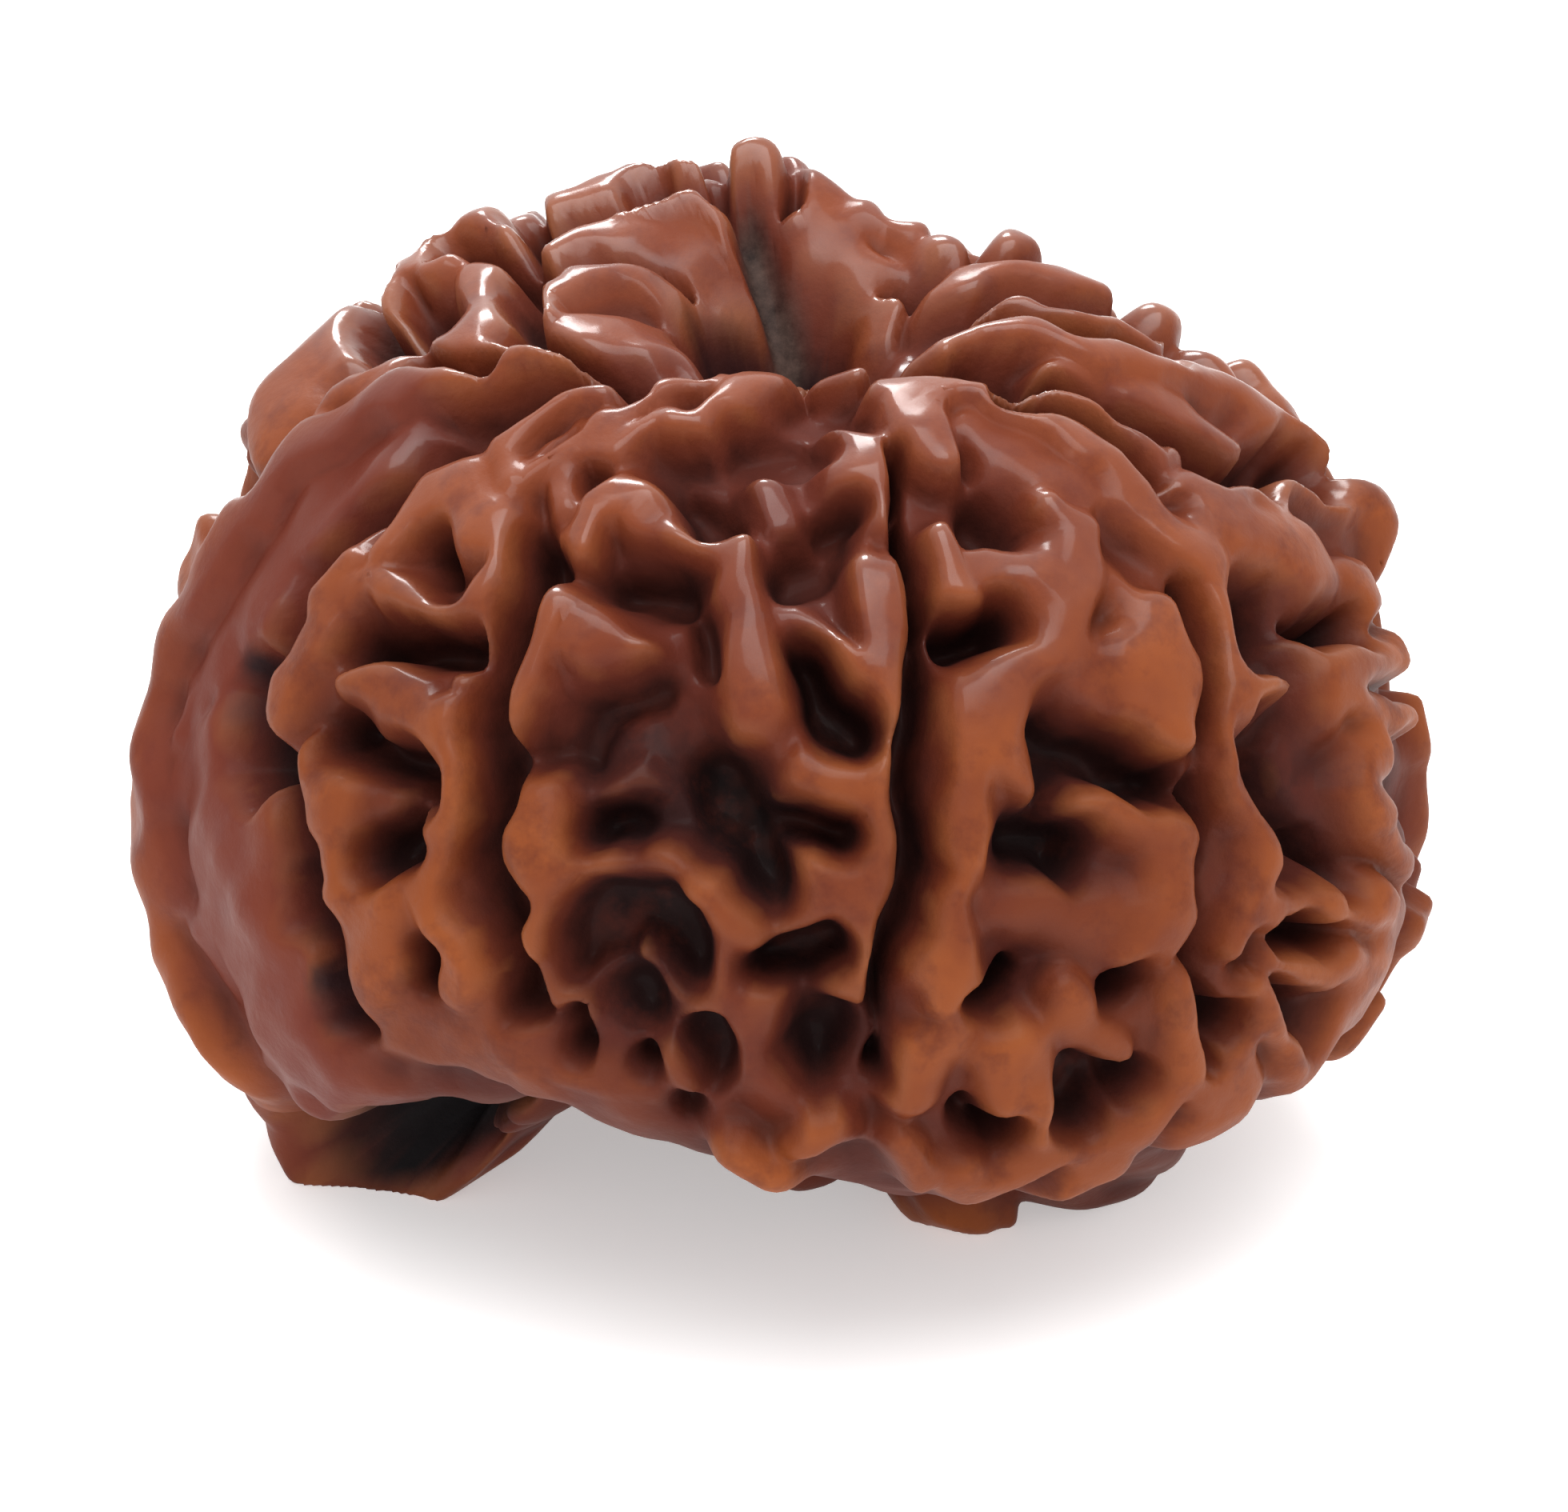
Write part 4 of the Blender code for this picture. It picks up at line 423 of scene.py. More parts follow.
# Grooves, whose half widths change along them.
GROOVES = [
    # left cleft
    ((0.15, 0.2, 0.25, 0.3, 0.3, 0.35, 0.35, 0.3, 0.3, 0.3, 0.3, 0.35, 0.4), -1.7,
     [(-5.2, 8.6), (-6.6, 8.1), (-7.9, 7.4), (-9.0, 6.3), (-9.8, 5.4), (-10.7, 4.1), (-11.2, 2.9),
      (-11.5, 1.6), (-11.0, 0.3), (-10.75, -0.8), (-10.3, -2.0), (-10.0, -3.4), (-9.7, -4.8)]),
    ((0.5, 0.6, 0.5), -2.3, [(-11.75, 2.6), (-11.75, 1.4), (-11.6, 0.5)]),
    ((0.4, 0.4), -2.3, [(-10.55, -1.8), (-10.25, -2.5)]),
    ((0.35, 0.35), -2.3, [(-9.95, -4.1), (-9.75, -4.8)]),
    ((0.2, 0.25, 0.25, 0.3, 0.3, 0.3, 0.3, 0.35, 0.35, 0.3, 0.25), -1.8,
     [(-5.4, 5.9), (-5.5, 5.0), (-5.8, 4.2), (-6.2, 3.3), (-6.45, 2.3), (-6.45, 1), (-6.55, 0),
      (-6.7, -1.2), (-6.5, -2.2), (-6.2, -3.2), (-5.95, -4.4)]),
    ((0.15, 0.15, 0.15, 0.2, 0.25, 0.3, 0.3, 0.3, 0.25, 0.2, 0.2), -2.0,
     [(2.1, 7.4), (2.35, 6.2), (2.6, 5.0), (2.75, 3.8), (2.75, 2.4), (2.65, 1.2), (2.6, 0),
      (2.6, -1.4), (2.3, -2.8), (2.05, -4.4), (1.85, -6.2)]),
    ((0.15, 0.15, 0.15, 0.15, 0.2, 0.25, 0.2, 0.2, 0.2), -1.6,
     [(8.5, 4.5), (8.8, 3.4), (8.95, 2.2), (8.95, 0.6), (8.95, -0.8), (8.7, -2.0), (8.7, -3.2),
      (8.95, -4.6), (9.0, -5.6)]),
    ((0.3, 0.35, 0.4, 0.4), -1.7, [(8.6, 7.4), (9.3, 6.95), (10.2, 6.95), (11.2, 6.9)]),
    ((0.35, 0.4, 0.45, 0.5), -1.5, [(-0.95, 12.7), (-0.75, 12.0), (-0.4, 11.1), (0.1, 10.1)]),
]


def direction(turn, fall):
    """Unit vectors at degrees round the bead and degrees from its crown.

    Each is (sin fall sin turn, -sin fall cos turn, cos fall), so turn 0 is towards the viewer.
    """
    turn, fall = np.radians(turn), np.radians(fall)
    flat = np.sin(fall)
    return np.stack([flat * np.sin(turn), -flat * np.cos(turn), np.cos(fall) + 0 * turn], -1)


def body_radius(ways):
    """Distance from the centre to the smooth body along unit vectors.

    One over the power root of (side / half width) ** power + (height / rise or drop) ** power, plus a
    bell of height swell round each swelling: swell times e to the minus (angle / reach) squared.
    """
    side = np.hypot(ways[:, 0], ways[:, 1])
    above = ways[:, 2] > 0
    power = np.where(above, ROUND_ABOVE, ROUND_BELOW)
    height = np.where(above, RISE, DROP)
    radius = ((side / HALF_WIDTH) ** power + (np.abs(ways[:, 2]) / height) ** power) ** (-1 / power)
    for turn, fall, reach, swell in SWELLINGS:
        apart = np.degrees(np.arccos(np.clip(ways @ direction(turn, fall), -1, 1)))
        radius = radius + swell * MM * np.exp(-((apart / reach) ** 2))
    return radius


def on_body(ways):
    """Points of the smooth body along unit vectors."""
    return ways * body_radius(ways)[:, None]


def gap(points):
    """How far points stand out of the smooth body: their distance from the centre less the body's."""
    away = np.linalg.norm(points, axis=1)
    return away - body_radius(points / away[:, None])


TILT = np.radians(VIEW_TILT)
ACROSS = np.array([1, 0, 0])
UPWARD = np.array([0, np.sin(TILT), np.cos(TILT)])
TO_VIEWER = np.array([0, -np.cos(TILT), np.sin(TILT)])


def facing(points):
    """Cosine between the body's normal at points on it and the way to the viewer.

    The normal is the slope of gap, from its difference over a tiny step each way along each axis.
    """
    step = 0.001 * MM
    slope = [gap(points + step * axis) - gap(points - step * axis) for axis in np.eye(3)]
    normal = np.stack(slope, 1)
    return normal @ TO_VIEWER / np.linalg.norm(normal, axis=1)


def cast(drawn):
    """Points of the body that the viewer sees at the drawn places.

    A ray goes from the eye through each place. Its first point inside the body counts, or the nearest
    one where it misses, moved on to the body along its own direction from the centre.
    """
    eye = VIEW_AIM[0] * ACROSS + VIEW_AIM[1] * UPWARD + VIEW_DISTANCE * TO_VIEWER
    deep, fine = 16 * MM, 0.02 * MM
    steps = np.arange(VIEW_DISTANCE - deep, VIEW_DISTANCE + deep, fine)
    seen = []
    for right, up in drawn:
        ray = right * ACROSS + up * UPWARD - eye
        along = eye + steps[:, None] * ray / np.linalg.norm(ray)
        out = gap(along)
        inside = np.nonzero(out <= 0)[0]
        seen.append(along[inside[0]] if len(inside) else along[np.argmin(out)])
    seen = np.array(seen)
    return on_body(seen / np.linalg.norm(seen, axis=1)[:, None])


def drawn_lines(table):
    """Lines of a table laid on the body, wider where it slants away: by a power of the cosine."""
    lines = []
    for widths, level, drawn in table:
        points = cast(np.array(drawn) * MM)
        slant = np.clip(np.maximum(facing(points), SLANT_LEAST) ** SLANT_POWER, 1, SLANT_LIMIT)
        lines.append((np.array(widths) * MM * slant * DRAWN_WIDER, level * MM, points))
    return lines


def sunk_lines(table):
    """Lines of pits and grooves laid on the body at their own widths."""
    return [(np.array(widths) * MM + np.zeros(len(drawn)), level * MM, cast(np.array(drawn) * MM))
            for widths, level, drawn in table]


def placed_line(row):
    """A line given by one half width, its level and its points in degrees round and from the crown."""
    width, level, places = row
    turns, falls = np.array(places, float).T
    return np.full(len(places), width * MM), level * MM, on_body(direction(turns, falls))


def hidden_runs(turns, falls, widths, level):
    """Parts of a line that the viewer can't see, or sees on a slant, laid on the body."""
    points = on_body(direction(turns, falls))
    turns = (turns + 180) % 360 - 180
    limit = np.where((turns > FLANK_TURN) & (falls > FLANK_FALL), HIDDEN_FLANK, HIDDEN_FROM)
    if level > RIDGES_ABOVE * MM:
        beneath = (np.abs(turns) < FRONT_TURN) & (falls > BENEATH_FALL)
        limit = np.where(beneath, HIDDEN_BENEATH, limit)
    hidden = (facing(points) < limit) | ((np.abs(turns) > BACK_TURN) & (falls > BACK_FALL))
    hidden &= (np.abs(turns) > FLANK_TURN) | (falls > RING_FALL)
    runs = []
    start = None
    for k in range(len(points) + 1):
        if k < len(points) and hidden[k]:
            start = k if start is None else start
        elif start is not None:
            runs.append((widths[start:k], level, points[start:k]))
            start = None
    return runs


def hidden_lines():
    """Ridges and hollows of the hidden side: lips along the grooves, bars between them, knobs and pits.

    For each segment, two lips follow its grooves at a wandering inset. Bars then start from either lip,
    one below another at random steps from crown to base, each with a chance of a knob beside it, and
    each with a pit below it in the middle of the segment.
    """
    draw = np.random.default_rng(HIDDEN_SEED)
    ridges = []
    hollows = []
    falls = np.arange(*SEAM_FALLS)
    count = len(falls)
    for left, right in zip(SEAMS[:-1], SEAMS[1:]):
        span = right - left
        lips = []
        for seam, inward in ((left, 1), (right, -1)):
            knots = falls[::LIP_WANDER_EVERY]
            wander = np.interp(falls, knots, draw.normal(size=len(knots)))
            inset = np.maximum(LIP_INSET + LIP_INSET_VARIES * wander, LIP_INSET_LEAST) * MM
            turns = seam + inward * np.degrees(inset / (HALF_WIDTH * np.sin(np.radians(falls))))
            widths = LIP_WIDTH + LIP_WIDTH_VARIES * draw.normal(size=count)
            widths = np.clip(widths, *LIP_WIDTH_LIMITS) * MM
            lips.append(turns)
            lip_level = (LIP_LEVEL + LIP_LEVEL_VARIES * draw.normal()) * MM
            ridges += hidden_runs(turns, falls, widths, lip_level)
        seam_turns, seam_widths = np.full(count, float(right)), np.full(count, SEAM_WIDTH * MM)
        hollows += hidden_runs(seam_turns, falls, seam_widths, SEAM_LEVEL * MM)
        fall, lowest = BAR_FALLS
        side = 0
        while fall < lowest:
            start = np.interp(fall, falls, lips[side])
            inward = 1 if side == 0 else -1
            reach = draw.uniform(*BAR_REACH) * (span - 2 * abs(start - (left, right)[side]))
            steps = np.linspace(0, 1, BAR_POINTS)
            bar_falls = fall + draw.uniform(-BAR_BEND, BAR_BEND) * steps**2
            bar_falls += BAR_RAGGED * draw.normal(size=BAR_POINTS)
            bar_widths = np.linspace(BAR_ROOT, BAR_TIP, BAR_POINTS)
            bar_widths = bar_widths + BAR_WIDTH_VARIES * draw.normal(size=BAR_POINTS)
            bar_widths = np.clip(bar_widths, *BAR_WIDTH_LIMITS) * MM
            bar_turns = start + inward * reach * steps
            bar_level = (BAR_LEVEL + BAR_LEVEL_VARIES * draw.normal()) * MM
            ridges += hidden_runs(bar_turns, bar_falls, bar_widths, bar_level)
            if draw.random() < KNOB_CHANCE:
                knob_turn = np.array([start + inward * reach * draw.uniform(*KNOB_PLACE)])
                knob_fall = np.array([fall + draw.choice([-KNOB_APART, KNOB_APART])])
                knob_width = np.array([draw.uniform(*KNOB_WIDTH) * MM])
                ridges += hidden_runs(knob_turn, knob_fall, knob_width, KNOB_LEVEL * MM)
            step = draw.uniform(*BAR_STEP)
            pit_turn = np.array([(left + right) / 2 + draw.uniform(-PIT_ASIDE, PIT_ASIDE) * span])
            pit_fall = np.array([fall + step / 2])
            pit_width = np.array([draw.uniform(*PIT_WIDTH) * MM])
            hollows += hidden_runs(pit_turn, pit_fall, pit_width, draw.uniform(*PIT_LEVEL) * MM)
            fall += step
            if draw.random() < SIDE_SWAP_CHANCE:
                side = 1 - side
    return ridges, hollows


def sway(points, length, seed):
    """Smooth noise between about -1 and 1: a sum of seeded sine waves about as long as length."""
    draw = np.random.default_rng(seed)
    total = np.zeros(len(points))
    for _ in range(WAVE_COUNT):
        wave = draw.normal(size=3)
        wave *= 2 * np.pi / (length * draw.uniform(*WAVE_VARIES)) / np.linalg.norm(wave)
        total += np.sin(points @ wave + draw.uniform(0, 2 * np.pi))
    return total / np.sqrt(WAVE_COUNT)


def nearness(points, line, widths):
    """Distance of points to a line, over its local half width."""
    if len(line) == 1:
        return np.linalg.norm(points - line[0], axis=1) / widths[0]
    best = np.full(len(points), np.inf)
    for start, end, width, next_width in zip(line[:-1], line[1:], widths[:-1], widths[1:]):
        run = end - start
        along = np.clip((points - start) @ run / (run @ run), 0, 1)
        away = np.linalg.norm(points - start - along[:, None] * run, axis=1)
        best = np.minimum(best, away / (width + (next_width - width) * along))
    return best


def follow(relief, points, thinner, line, upward):
    """Pull the relief near a line up or down to the line's level.

    With a the distance in half widths, the pull is (1 - top round * a squared) / (1 + (a / reach) to the
    power steep), and the relief moves by that share of what it lacks to the line's level.
    """
    widths, level, places = line
    middle = places.mean(0)
    reach = np.linalg.norm(places - middle, axis=1).max() + LINE_MARGIN * widths.max()
    near = np.nonzero(np.linalg.norm(points - middle, axis=1) < reach)[0]
    away = nearness(points[near], places, widths) * thinner[near]
    reached, steep = (RIDGE_REACH, RIDGE_STEEP) if upward else (HOLLOW_REACH, HOLLOW_STEEP)
    pull = (1 - TOP_ROUND * np.minimum(away, TOP_LIMIT) ** 2) / (1 + (away / reached) ** steep)
    rise = np.maximum(level - relief[near], 0) if upward else np.minimum(level - relief[near], 0)
    relief[near] += pull * rise


def bead_radius(ways):
    """Distance from the centre to the bead's surface along unit vectors: body plus relief.

    The relief is its floor, pulled up by each ridge and then down by each pit and groove. It is cut off
    flat where the bead stands, at the standing depth over the downward share of the direction.
    """
    base = body_radius(ways)
    points = ways * base[:, None]
    bend = np.stack([sway(points, LINE_WAVE * MM, seed) for seed in LINE_SEEDS], -1)
    bent = points + LINE_SWAY * bend
    thinner = (1 + WIDTH_SWAY * sway(points, WIDTH_WAVE * MM, WIDTH_SEED)
               + KNOT_SWAY * sway(points, KNOT_WAVE * MM, KNOT_SEED))
    crown = np.clip((ways[:, 2] - CROWN_FROM) / CROWN_STEP, 0, 1)
    relief = FLOOR + CROWN_FLOOR * crown + FLOOR_SWAY * sway(points, FLOOR_WAVE * MM, FLOOR_SEED)
    ridges, hollows = hidden_lines()
    for line in drawn_lines(RIDGES) + ridges:
        follow(relief, bent, thinner, line, upward=True)
    for line in sunk_lines(PITS + GROOVES) + hollows:
        follow(relief, bent, thinner, line, upward=False)
    follow(relief, points, thinner, placed_line(HOOK_HOLE), upward=False)
    for row in (HOOK_LIP,) + FEET:
        follow(relief, points, thinner, placed_line(row), upward=True)
    relief += FINE_SWAY * sway(points, FINE_WAVE * MM, FINE_SEED)
    radius = base + relief
    level_cut = STAND / np.maximum(-ways[:, 2], 1e-6)
    return np.where(ways[:, 2] < 0, np.minimum(radius, level_cut), radius)


def neighbour_mean(values, edges, count, rounds):
    """Values averaged over each vertex's neighbours, again and again, so that they spread."""
    ends = np.concatenate([edges[:, 0], edges[:, 1]])
    others = np.concatenate([edges[:, 1], edges[:, 0]])
    share = np.bincount(ends, minlength=count)
    for _ in range(rounds):
        values = 0.5 * values + 0.5 * np.bincount(ends, values[others], minlength=count) / share
    return values


def sphere_grid(round_steps, rings):
    """A unit sphere as a function of two angles, turn and fall, on an even grid of both.

    The points are direction(turn, fall). The poles are two points of their own, last in the list, each
    closed by a ring of triangles. Faces look outwards.
    """
    turns = np.linspace(-180, 180, round_steps, endpoint=False)
    falls = np.linspace(0, 180, rings + 2)[1:-1]
    turn, fall = np.meshgrid(turns, falls)
    ways = np.vstack([direction(turn, fall).reshape(-1, 3), [[0, 0, 1]], [[0, 0, -1]]])
    column = np.arange(round_steps)
    following = (column + 1) % round_steps
    row = (np.arange(rings - 1) * round_steps)[:, None]
    quads = np.stack([row + column, row + column + round_steps,
                      row + following + round_steps, row + following], -1).reshape(-1, 4)
    crown = np.full(round_steps, round_steps * rings)
    last = (rings - 1) * round_steps
    crown_caps = np.stack([crown, column, following], -1)
    base_caps = np.stack([crown + 1, last + following, last + column], -1)
    return ways, quads.tolist() + crown_caps.tolist() + base_caps.tolist()


def coordinates(mesh):
    """Places of a mesh's vertices, one row each."""
    flat = np.empty(len(mesh.vertices) * 3)
    mesh.vertices.foreach_get("co", flat)
    return flat.reshape(-1, 3)


ways, faces = sphere_grid(ROUND, RINGS)
surface = ways * bead_radius(ways)[:, None]
rough_mesh = bpy.data.meshes.new("bead_fine")
rough_mesh.from_pydata(surface.tolist(), [], faces)
rough_bead = bpy.data.objects.new("bead_fine", rough_mesh)
bpy.context.scene.collection.objects.link(rough_bead)
soften = rough_bead.modifiers.new("soften", "SMOOTH")
soften.factor = 0.5
soften.iterations = 3
thin = rough_bead.modifiers.new("thin", "DECIMATE")
thin.ratio = TRIANGLES / (2 * ROUND * RINGS)
graph = bpy.context.evaluated_depsgraph_get()
bead_mesh = bpy.data.meshes.new_from_object(rough_bead.evaluated_get(graph))
bpy.data.objects.remove(rough_bead)

# Smoothing lifts the edges of the flats, so points that all but reach the standing plane go on to it.
# Two numbers are kept per vertex: its level over the smooth body in mm, and how hollow it is, which is
# the mean level around it less its own.
FLAT_WITHIN = 0.02
HOLLOW_ROUNDS = 24
points = coordinates(bead_mesh)
low = points[:, 2] < -STAND + FLAT_WITHIN * MM
points[low] *= (-STAND / points[low, 2])[:, None]
away = np.linalg.norm(points, axis=1)
laid = on_body(points / away[:, None])
level = (away - np.linalg.norm(laid, axis=1)) / MM
edges = np.empty(len(bead_mesh.edges) * 2, dtype=np.int64)
bead_mesh.edges.foreach_get("vertices", edges)
edges = edges.reshape(-1, 2)
hollow = neighbour_mean(level, edges, len(points), HOLLOW_ROUNDS) - level

# Where the colour differs, as half widths and points drawn in mm as above: dried pulp in the crown's
# cleft, the smooth redder skin of the left lobe, and dark pockets of painted shade at the cleft and the
# crown. Before each stands the distance in half widths at which its mask ends.
PULP_EDGE = 1.5
PULP_LINES = (
    ((0.3, 0.35, 0.4, 0.4), [(-0.95, 12.7), (-0.75, 12.0), (-0.4, 11.1), (0.0, 10.2)]),
    ((0.4, 0.4), [(-0.1, 9.9), (0.4, 9.7)]),
)
SKIN_EDGE = 1.7
SKIN_LINES = (
    ((0.9, 1.4, 1.9, 2.3, 2.3, 2.2, 2.0, 1.7, 1.4, 1.2),
     [(-8.2, 7.9), (-10.2, 6.2), (-11.8, 3.6), (-12.5, 1.2), (-12.5, -0.8), (-12.0, -2.8),
      (-11.3, -4.4), (-10.5, -5.8), (-9.8, -6.8), (-9.3, -7.6)]),
)
SHADE_POCKET_EDGE = 1.6
SHADE_POCKETS = (
    ((0.3, 0.5, 0.5, 0.35), [(-11.75, 2.9), (-11.8, 2.2), (-11.7, 1.2), (-11.55, 0.3)]),
    ((0.3, 0.35), [(-10.75, -1.6), (-10.45, -2.6)]),
    ((0.3, 0.35), [(-10.15, -3.9), (-9.95, -4.7)]),
    ((0.45, 0.45), [(-1.75, 9.75), (-0.9, 9.45)]),
    ((0.25, 0.25), [(0.45, 9.95), (0.85, 9.7)]),
    ((0.2, 0.2), [(2.25, 10.75), (2.6, 10.8)]),
)

# The skin also covers the hook's lip, a little more weakly, and leaves the deep places free. The hole
# is painted black where it lies deep, as painted shade. Levels and the lip's extra half width are in mm.
SKIN_SHARE, LIP_SHARE = 0.85, 0.9
LIP_EXTRA, LIP_EDGE = 1.6, 1.6
SKIN_LOWEST, SKIN_STEP = -1.4, 0.8
HOLE_EDGE = 1.9
HOLE_HIGHEST, HOLE_STEP = -0.2, 0.9


def near_mask(reach, edge):
    """One near a line, falling to zero at edge: edge less the distance in half widths, within 0 to 1."""
    return np.clip(edge - reach, 0, 1)


def drawn_mask(rows, edge):
    """The strongest of the masks round the drawn lines."""
    mask = np.zeros(len(laid))
    for widths, drawn in rows:
        reach = nearness(laid, cast(np.array(drawn) * MM), np.array(widths) * MM)
        mask = np.maximum(mask, near_mask(reach, edge))
    return mask


pulp = drawn_mask(PULP_LINES, PULP_EDGE)
pocket_shade = drawn_mask(SHADE_POCKETS, SHADE_POCKET_EDGE)
lip_widths, _, lip_places = placed_line(HOOK_LIP)
lip_reach = nearness(laid, lip_places, lip_widths + LIP_EXTRA * MM)
skin = np.maximum(drawn_mask(SKIN_LINES, SKIN_EDGE), LIP_SHARE * near_mask(lip_reach, LIP_EDGE))
skin = SKIN_SHARE * skin * np.clip((level - SKIN_LOWEST) / SKIN_STEP, 0, 1)
hole_widths, _, hole_places = placed_line(HOOK_HOLE)
hole_shade = near_mask(nearness(laid, hole_places, hole_widths), HOLE_EDGE)
hole_shade = hole_shade * np.clip((HOLE_HIGHEST - level) / HOLE_STEP, 0, 1)

middle = (points.min(0) + points.max(0)) / 2
centre = np.array([-middle[0], -middle[1], STAND])
bead_mesh.vertices.foreach_set("co", (points + centre).ravel())
for name, values in (("level", level), ("hollow", hollow), ("pulp", pulp),
                     ("skin", skin), ("hole_shade", hole_shade), ("pocket_shade", pocket_shade)):
    layer = bead_mesh.attributes.new(name, "FLOAT", "POINT")
    layer.data.foreach_set("value", values.astype(np.float32))
bead_mesh.shade_smooth()
bead = bpy.data.objects.new("wrinkled_bead", bead_mesh)
bpy.context.scene.collection.objects.link(bead)


def ramp(nodes, links, source, stops):
    """A colour ramp over a number, with its stops as place and colour."""
    node = nodes.new("ShaderNodeValToRGB")
    elements = node.color_ramp.elements
    while len(elements) < len(stops):
        elements.new(0.5)
    for element, (place, colour) in zip(elements, stops):
        element.position = place
        element.color = (*colour, 1)
    links.new(source, node.inputs["Fac"])
    return node.outputs["Color"]


def spread(nodes, links, source, low, high, out_low=0.0, out_high=1.0):
    """A number mapped from one range to another."""
    node = nodes.new("ShaderNodeMapRange")
    node.inputs["From Min"].default_value = low
    node.inputs["From Max"].default_value = high
    node.inputs["To Min"].default_value = out_low
    node.inputs["To Max"].default_value = out_high
    links.new(source, node.inputs["Value"])
    return node.outputs["Result"]


def noise(nodes, links, where, scale, detail, roughness=0.5):
    """Cloudy noise between 0 and 1, with scale clouds to the metre, so 1000 is a cloud to the mm."""
    node = nodes.new("ShaderNodeTexNoise")
    node.inputs["Scale"].default_value = scale
    node.inputs["Detail"].default_value = detail
    node.inputs["Roughness"].default_value = roughness
    links.new(where, node.inputs["Vector"])
    return node.outputs["Fac"]


def blend(nodes, links, amount, first, second):
    """A colour between two: first times one less amount, plus second times amount."""
    node = nodes.new("ShaderNodeMix")
    node.data_type = "RGBA"
    for value, socket in ((amount, node.inputs[0]), (first, node.inputs[6]), (second, node.inputs[7])):
        if isinstance(value, bpy.types.NodeSocket):
            links.new(value, socket)
        elif socket == node.inputs[0]:
            socket.default_value = value
        else:
            socket.default_value = (*value, 1)
    return node.outputs[2]


def attribute(nodes, name):
    """A number kept with the mesh, by its name."""
    node = nodes.new("ShaderNodeAttribute")
    node.attribute_name = name
    return node.outputs["Fac"]


def product(nodes, links, first, second):
    """One number times another."""
    node = nodes.new("ShaderNodeMath")
    node.operation = "MULTIPLY"
    links.new(first, node.inputs[0])
    links.new(second, node.inputs[1])
    return node.outputs["Value"]


# Colours of the stone: from its deepest pits to its ridges by the level in mm, the deep end nearly
# black as painted shade, then what lies over them, as described where each is used.
LEVEL_RANGE = (-2.4, 0.4)
LEVEL_COLOURS_WITH_SHADE = (
    (0.0, (0.006, 0.0025, 0.0025)),
    (0.3, (0.020, 0.0050, 0.0045)),
    (0.52, (0.050, 0.0100, 0.0065)),
    (0.68, (0.105, 0.0215, 0.0080)),
    (0.80, (0.165, 0.0380, 0.0100)),
    (0.92, (0.215, 0.0530, 0.0125)),
)
BLOTCH_BROWN = (0.090, 0.0165, 0.0085)
FLECK_BROWN = (0.070, 0.0125, 0.0070)
CROWN_PINK = (0.150, 0.0300, 0.0170)
SKIN_RED = (0.105, 0.0195, 0.0120)
# Painted light: pit brown and the pocket and hole blacks are painted shade, crest orange a painted
# highlight.
PIT_SHADE_BROWN = (0.010, 0.0035, 0.0035)
CREST_HIGHLIGHT_ORANGE = (0.260, 0.090, 0.032)
PULP_COLOURS = ((0.3, (0.014, 0.008, 0.007)), (0.7, (0.085, 0.052, 0.042)))
POCKET_SHADE_BLACK = (0.018, 0.0050, 0.0055)
HOLE_SHADE_BLACK = (0.004, 0.0025, 0.003)

# Heights above the table in metres between which the crown turns pinker and glossier.
PINK_FROM, PINK_FULL = 0.0125, 0.0185
GLOSS_FROM, GLOSS_FULL = 0.0125, 0.0165

stone = bpy.data.materials.new("oiled_stone")
stone.use_nodes = True
nodes, links = stone.node_tree.nodes, stone.node_tree.links
shader = nodes["Principled BSDF"]
place = nodes.new("ShaderNodeTexCoord").outputs["Object"]
height = attribute(nodes, "level")
hollowness = attribute(nodes, "hollow")
depth_colour_with_shade = ramp(nodes, links, spread(nodes, links, height, *LEVEL_RANGE), LEVEL_COLOURS_WITH_SHADE)

# Blotches a few mm wide and flecks of about a mm darken the brown.
blotch = noise(nodes, links, place, scale=260, detail=4, roughness=0.6)
blotch_amount = spread(nodes, links, blotch, low=0.45, high=0.65, out_high=0.6)
blotched = blend(nodes, links, blotch_amount, depth_colour_with_shade, BLOTCH_BROWN)
fleck = noise(nodes, links, place, scale=900, detail=4, roughness=0.65)
fleck_amount = spread(nodes, links, fleck, low=0.50, high=0.68, out_high=0.55)
flecked = blend(nodes, links, fleck_amount, blotched, FLECK_BROWN)

# The crown is pinker and the left lobe's skin redder. Hollow places are darkened with painted shade
# and crests lightened with a painted highlight.
split = nodes.new("ShaderNodeSeparateXYZ")
links.new(place, split.inputs["Vector"])
pink_amount = spread(nodes, links, split.outputs["Z"], PINK_FROM, PINK_FULL, out_high=0.45)
reddened = blend(nodes, links, pink_amount, flecked, CROWN_PINK)
skinned = blend(nodes, links, attribute(nodes, "skin"), reddened, SKIN_RED)
pit_shade_amount = spread(nodes, links, hollowness, low=0.05, high=0.5, out_high=0.65)
shaded = blend(nodes, links, pit_shade_amount, skinned, PIT_SHADE_BROWN)
crest_highlight_amount = spread(nodes, links, hollowness, low=-0.16, high=-0.6, out_high=0.4)
highlighted = blend(nodes, links, crest_highlight_amount, shaded, CREST_HIGHLIGHT_ORANGE)

# Grey-brown crumbs of dried pulp, then the painted shade of the dark pockets and of the black hole, lie
# over all of it.
crumbs = noise(nodes, links, place, scale=1800, detail=5, roughness=0.7)
pulped = blend(nodes, links, attribute(nodes, "pulp"), highlighted, ramp(nodes, links, crumbs, PULP_COLOURS))
pocket_shaded = blend(nodes, links, attribute(nodes, "pocket_shade"), pulped, POCKET_SHADE_BLACK)
final_colour = blend(nodes, links, attribute(nodes, "hole_shade"), pocket_shaded, HOLE_SHADE_BLACK)
links.new(final_colour, shader.inputs["Base Color"])

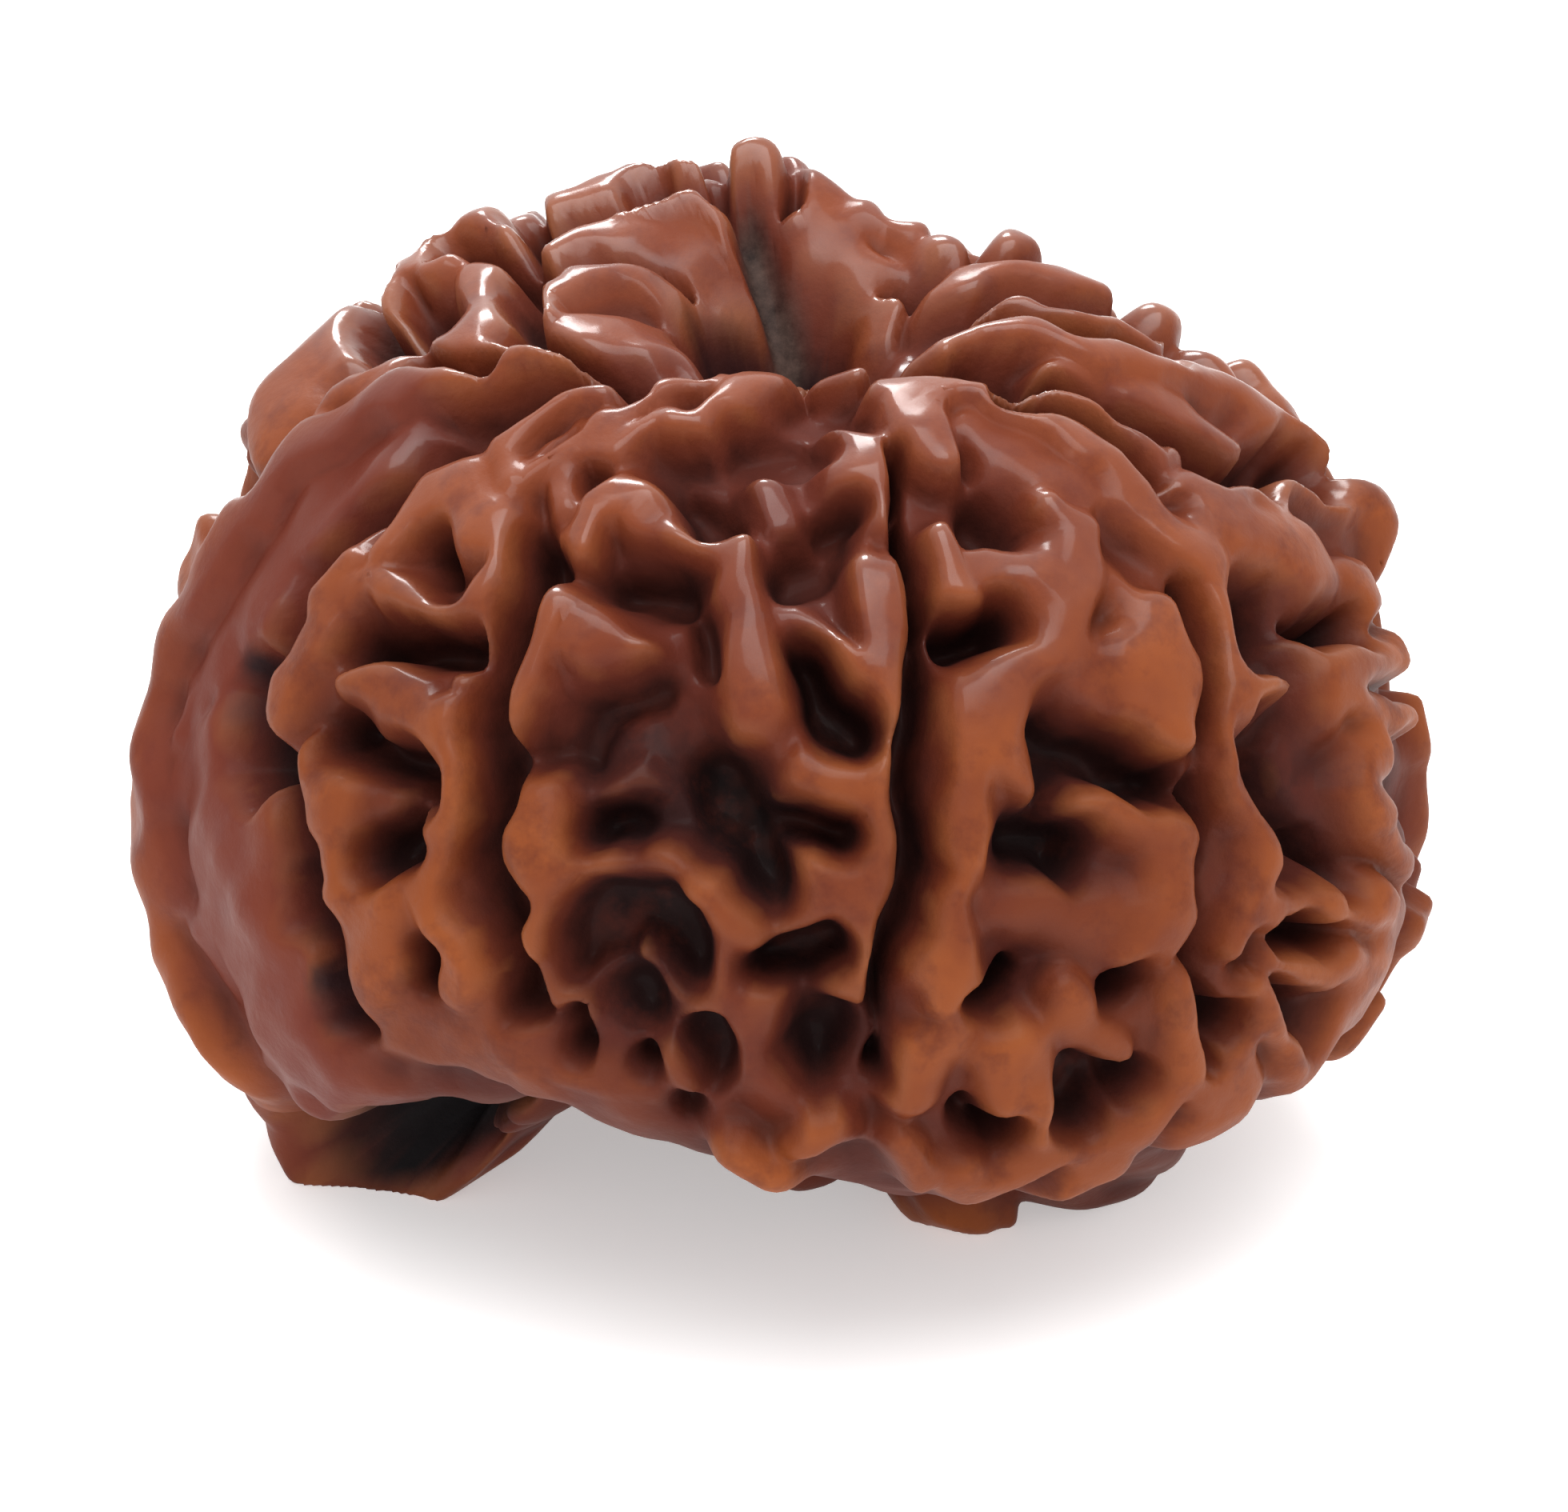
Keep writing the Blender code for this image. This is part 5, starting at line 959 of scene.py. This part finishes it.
# The oil leaves a soft sheen that varies from place to place and is duller in the deep places.
sheen_noise = noise(nodes, links, place, scale=700, detail=3)
sheen = nodes.new("ShaderNodeMath")
sheen_amount = spread(nodes, links, sheen_noise, low=0.3, high=0.7, out_low=0.42, out_high=0.62)
dull_amount = spread(nodes, links, height, low=-0.5, high=-1.3, out_high=0.25)
links.new(sheen_amount, sheen.inputs[0])
links.new(dull_amount, sheen.inputs[1])
links.new(sheen.outputs["Value"], shader.inputs["Roughness"])
shader.inputs["Specular IOR Level"].default_value = 0.10

# Hands have polished the ridges that look upwards near the crown, so they shine the most.
outward = nodes.new("ShaderNodeSeparateXYZ")
links.new(nodes.new("ShaderNodeNewGeometry").outputs["Normal"], outward.inputs["Vector"])
topmost = spread(nodes, links, outward.outputs["Z"], low=0.3, high=0.85)
raised = spread(nodes, links, hollowness, low=0.05, high=-0.25)
crownward = spread(nodes, links, split.outputs["Z"], GLOSS_FROM, GLOSS_FULL)
polished = product(nodes, links, product(nodes, links, topmost, raised), crownward)
coat = spread(nodes, links, polished, low=0.0, high=1.0, out_low=0.03, out_high=1.0)
links.new(coat, shader.inputs["Coat Weight"])
shader.inputs["Coat Roughness"].default_value = 0.18

# The stone's grain: lumps of under half a mm across, at most a tenth of a mm deep.
grain = noise(nodes, links, place, scale=2200, detail=6, roughness=0.6)
bump = nodes.new("ShaderNodeBump")
bump.inputs["Strength"].default_value = 0.35
bump.inputs["Distance"].default_value = 0.1 * MM
links.new(grain, bump.inputs["Height"])
links.new(bump.outputs["Normal"], shader.inputs["Normal"])
bead_mesh.materials.clear()
bead_mesh.materials.append(stone)

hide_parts("bead")
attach(bead, "root")

# The camera: it looks down on the bead from the front, at the angle the lines above were drawn from,
# and takes in the photograph's whole frame.
PHOTO_PIXELS = 1960
PIXELS_PER_MM = 60
FRAME_WIDTH = MM * PHOTO_PIXELS / PIXELS_PER_MM
SENSOR = 36
NEAREST = 0.001
eye_offset = VIEW_AIM[0] * ACROSS + VIEW_AIM[1] * UPWARD + VIEW_DISTANCE * TO_VIEWER
lens = bpy.data.cameras.new("photo_camera")
lens.sensor_width = SENSOR
lens.lens = SENSOR * VIEW_DISTANCE / FRAME_WIDTH
lens.clip_start = NEAREST
camera = bpy.data.objects.new("photo_camera", lens)
camera.location = centre + eye_offset
camera.rotation_euler = Vector(-TO_VIEWER).to_track_quat("-Z", "Y").to_euler()
bpy.context.scene.collection.objects.link(camera)
bpy.context.scene.camera = camera

# The table: a plain board painted matt white, wide enough to fill the frame. It gives off a little
# light of its own, so that it comes out nearly as white as the ground in the photograph.
TABLE_HALF = 2
TABLE_WHITE = (0.9, 0.895, 0.895, 1)
TABLE_GLOW = (1, 0.98, 0.98, 1)
TABLE_GLOW_STRENGTH = 0.4
TABLE_ROUGHNESS = 0.6
board = bpy.data.meshes.new("table")
corners = [(right * TABLE_HALF, back * TABLE_HALF, 0)
           for right, back in ((-1, -1), (1, -1), (1, 1), (-1, 1))]
board.from_pydata(corners, [], [(0, 1, 2, 3)])
table = bpy.data.objects.new("table", board)
bpy.context.scene.collection.objects.link(table)
paint = bpy.data.materials.new("white_board")
paint.use_nodes = True
paint_sockets = paint.node_tree.nodes["Principled BSDF"].inputs
paint_sockets["Base Color"].default_value = TABLE_WHITE
paint_sockets["Roughness"].default_value = TABLE_ROUGHNESS
paint_sockets["Emission Color"].default_value = TABLE_GLOW
paint_sockets["Emission Strength"].default_value = TABLE_GLOW_STRENGTH
board.materials.append(paint)

# The light: an evenly white room, one large soft lamp high above and a little in front of the bead,
# and a smaller one behind it. Each lamp has its place and width in metres and its power in watts.
ROOM_WHITE = (1, 0.99, 0.985, 1)
ROOM_STRENGTH = 1.15
LAMPS = (
    ("main", (0.02, -0.10, 0.34), 0.30, 1.0),
    ("behind", (-0.04, 0.28, 0.27), 0.12, 0.8),
)
for name, spot, size, power in LAMPS:
    glow = bpy.data.lights.new(name, "AREA")
    glow.size = size
    glow.energy = power
    lamp = bpy.data.objects.new(name, glow)
    lamp.location = spot
    lamp.rotation_euler = (-Vector(spot)).to_track_quat("-Z", "Y").to_euler()
    bpy.context.scene.collection.objects.link(lamp)
room = bpy.data.worlds.new("room")
room.use_nodes = True
room.node_tree.nodes["Background"].inputs["Color"].default_value = ROOM_WHITE
room.node_tree.nodes["Background"].inputs["Strength"].default_value = ROOM_STRENGTH
bpy.context.scene.world = room
bpy.context.scene.view_settings.view_transform = "Standard"
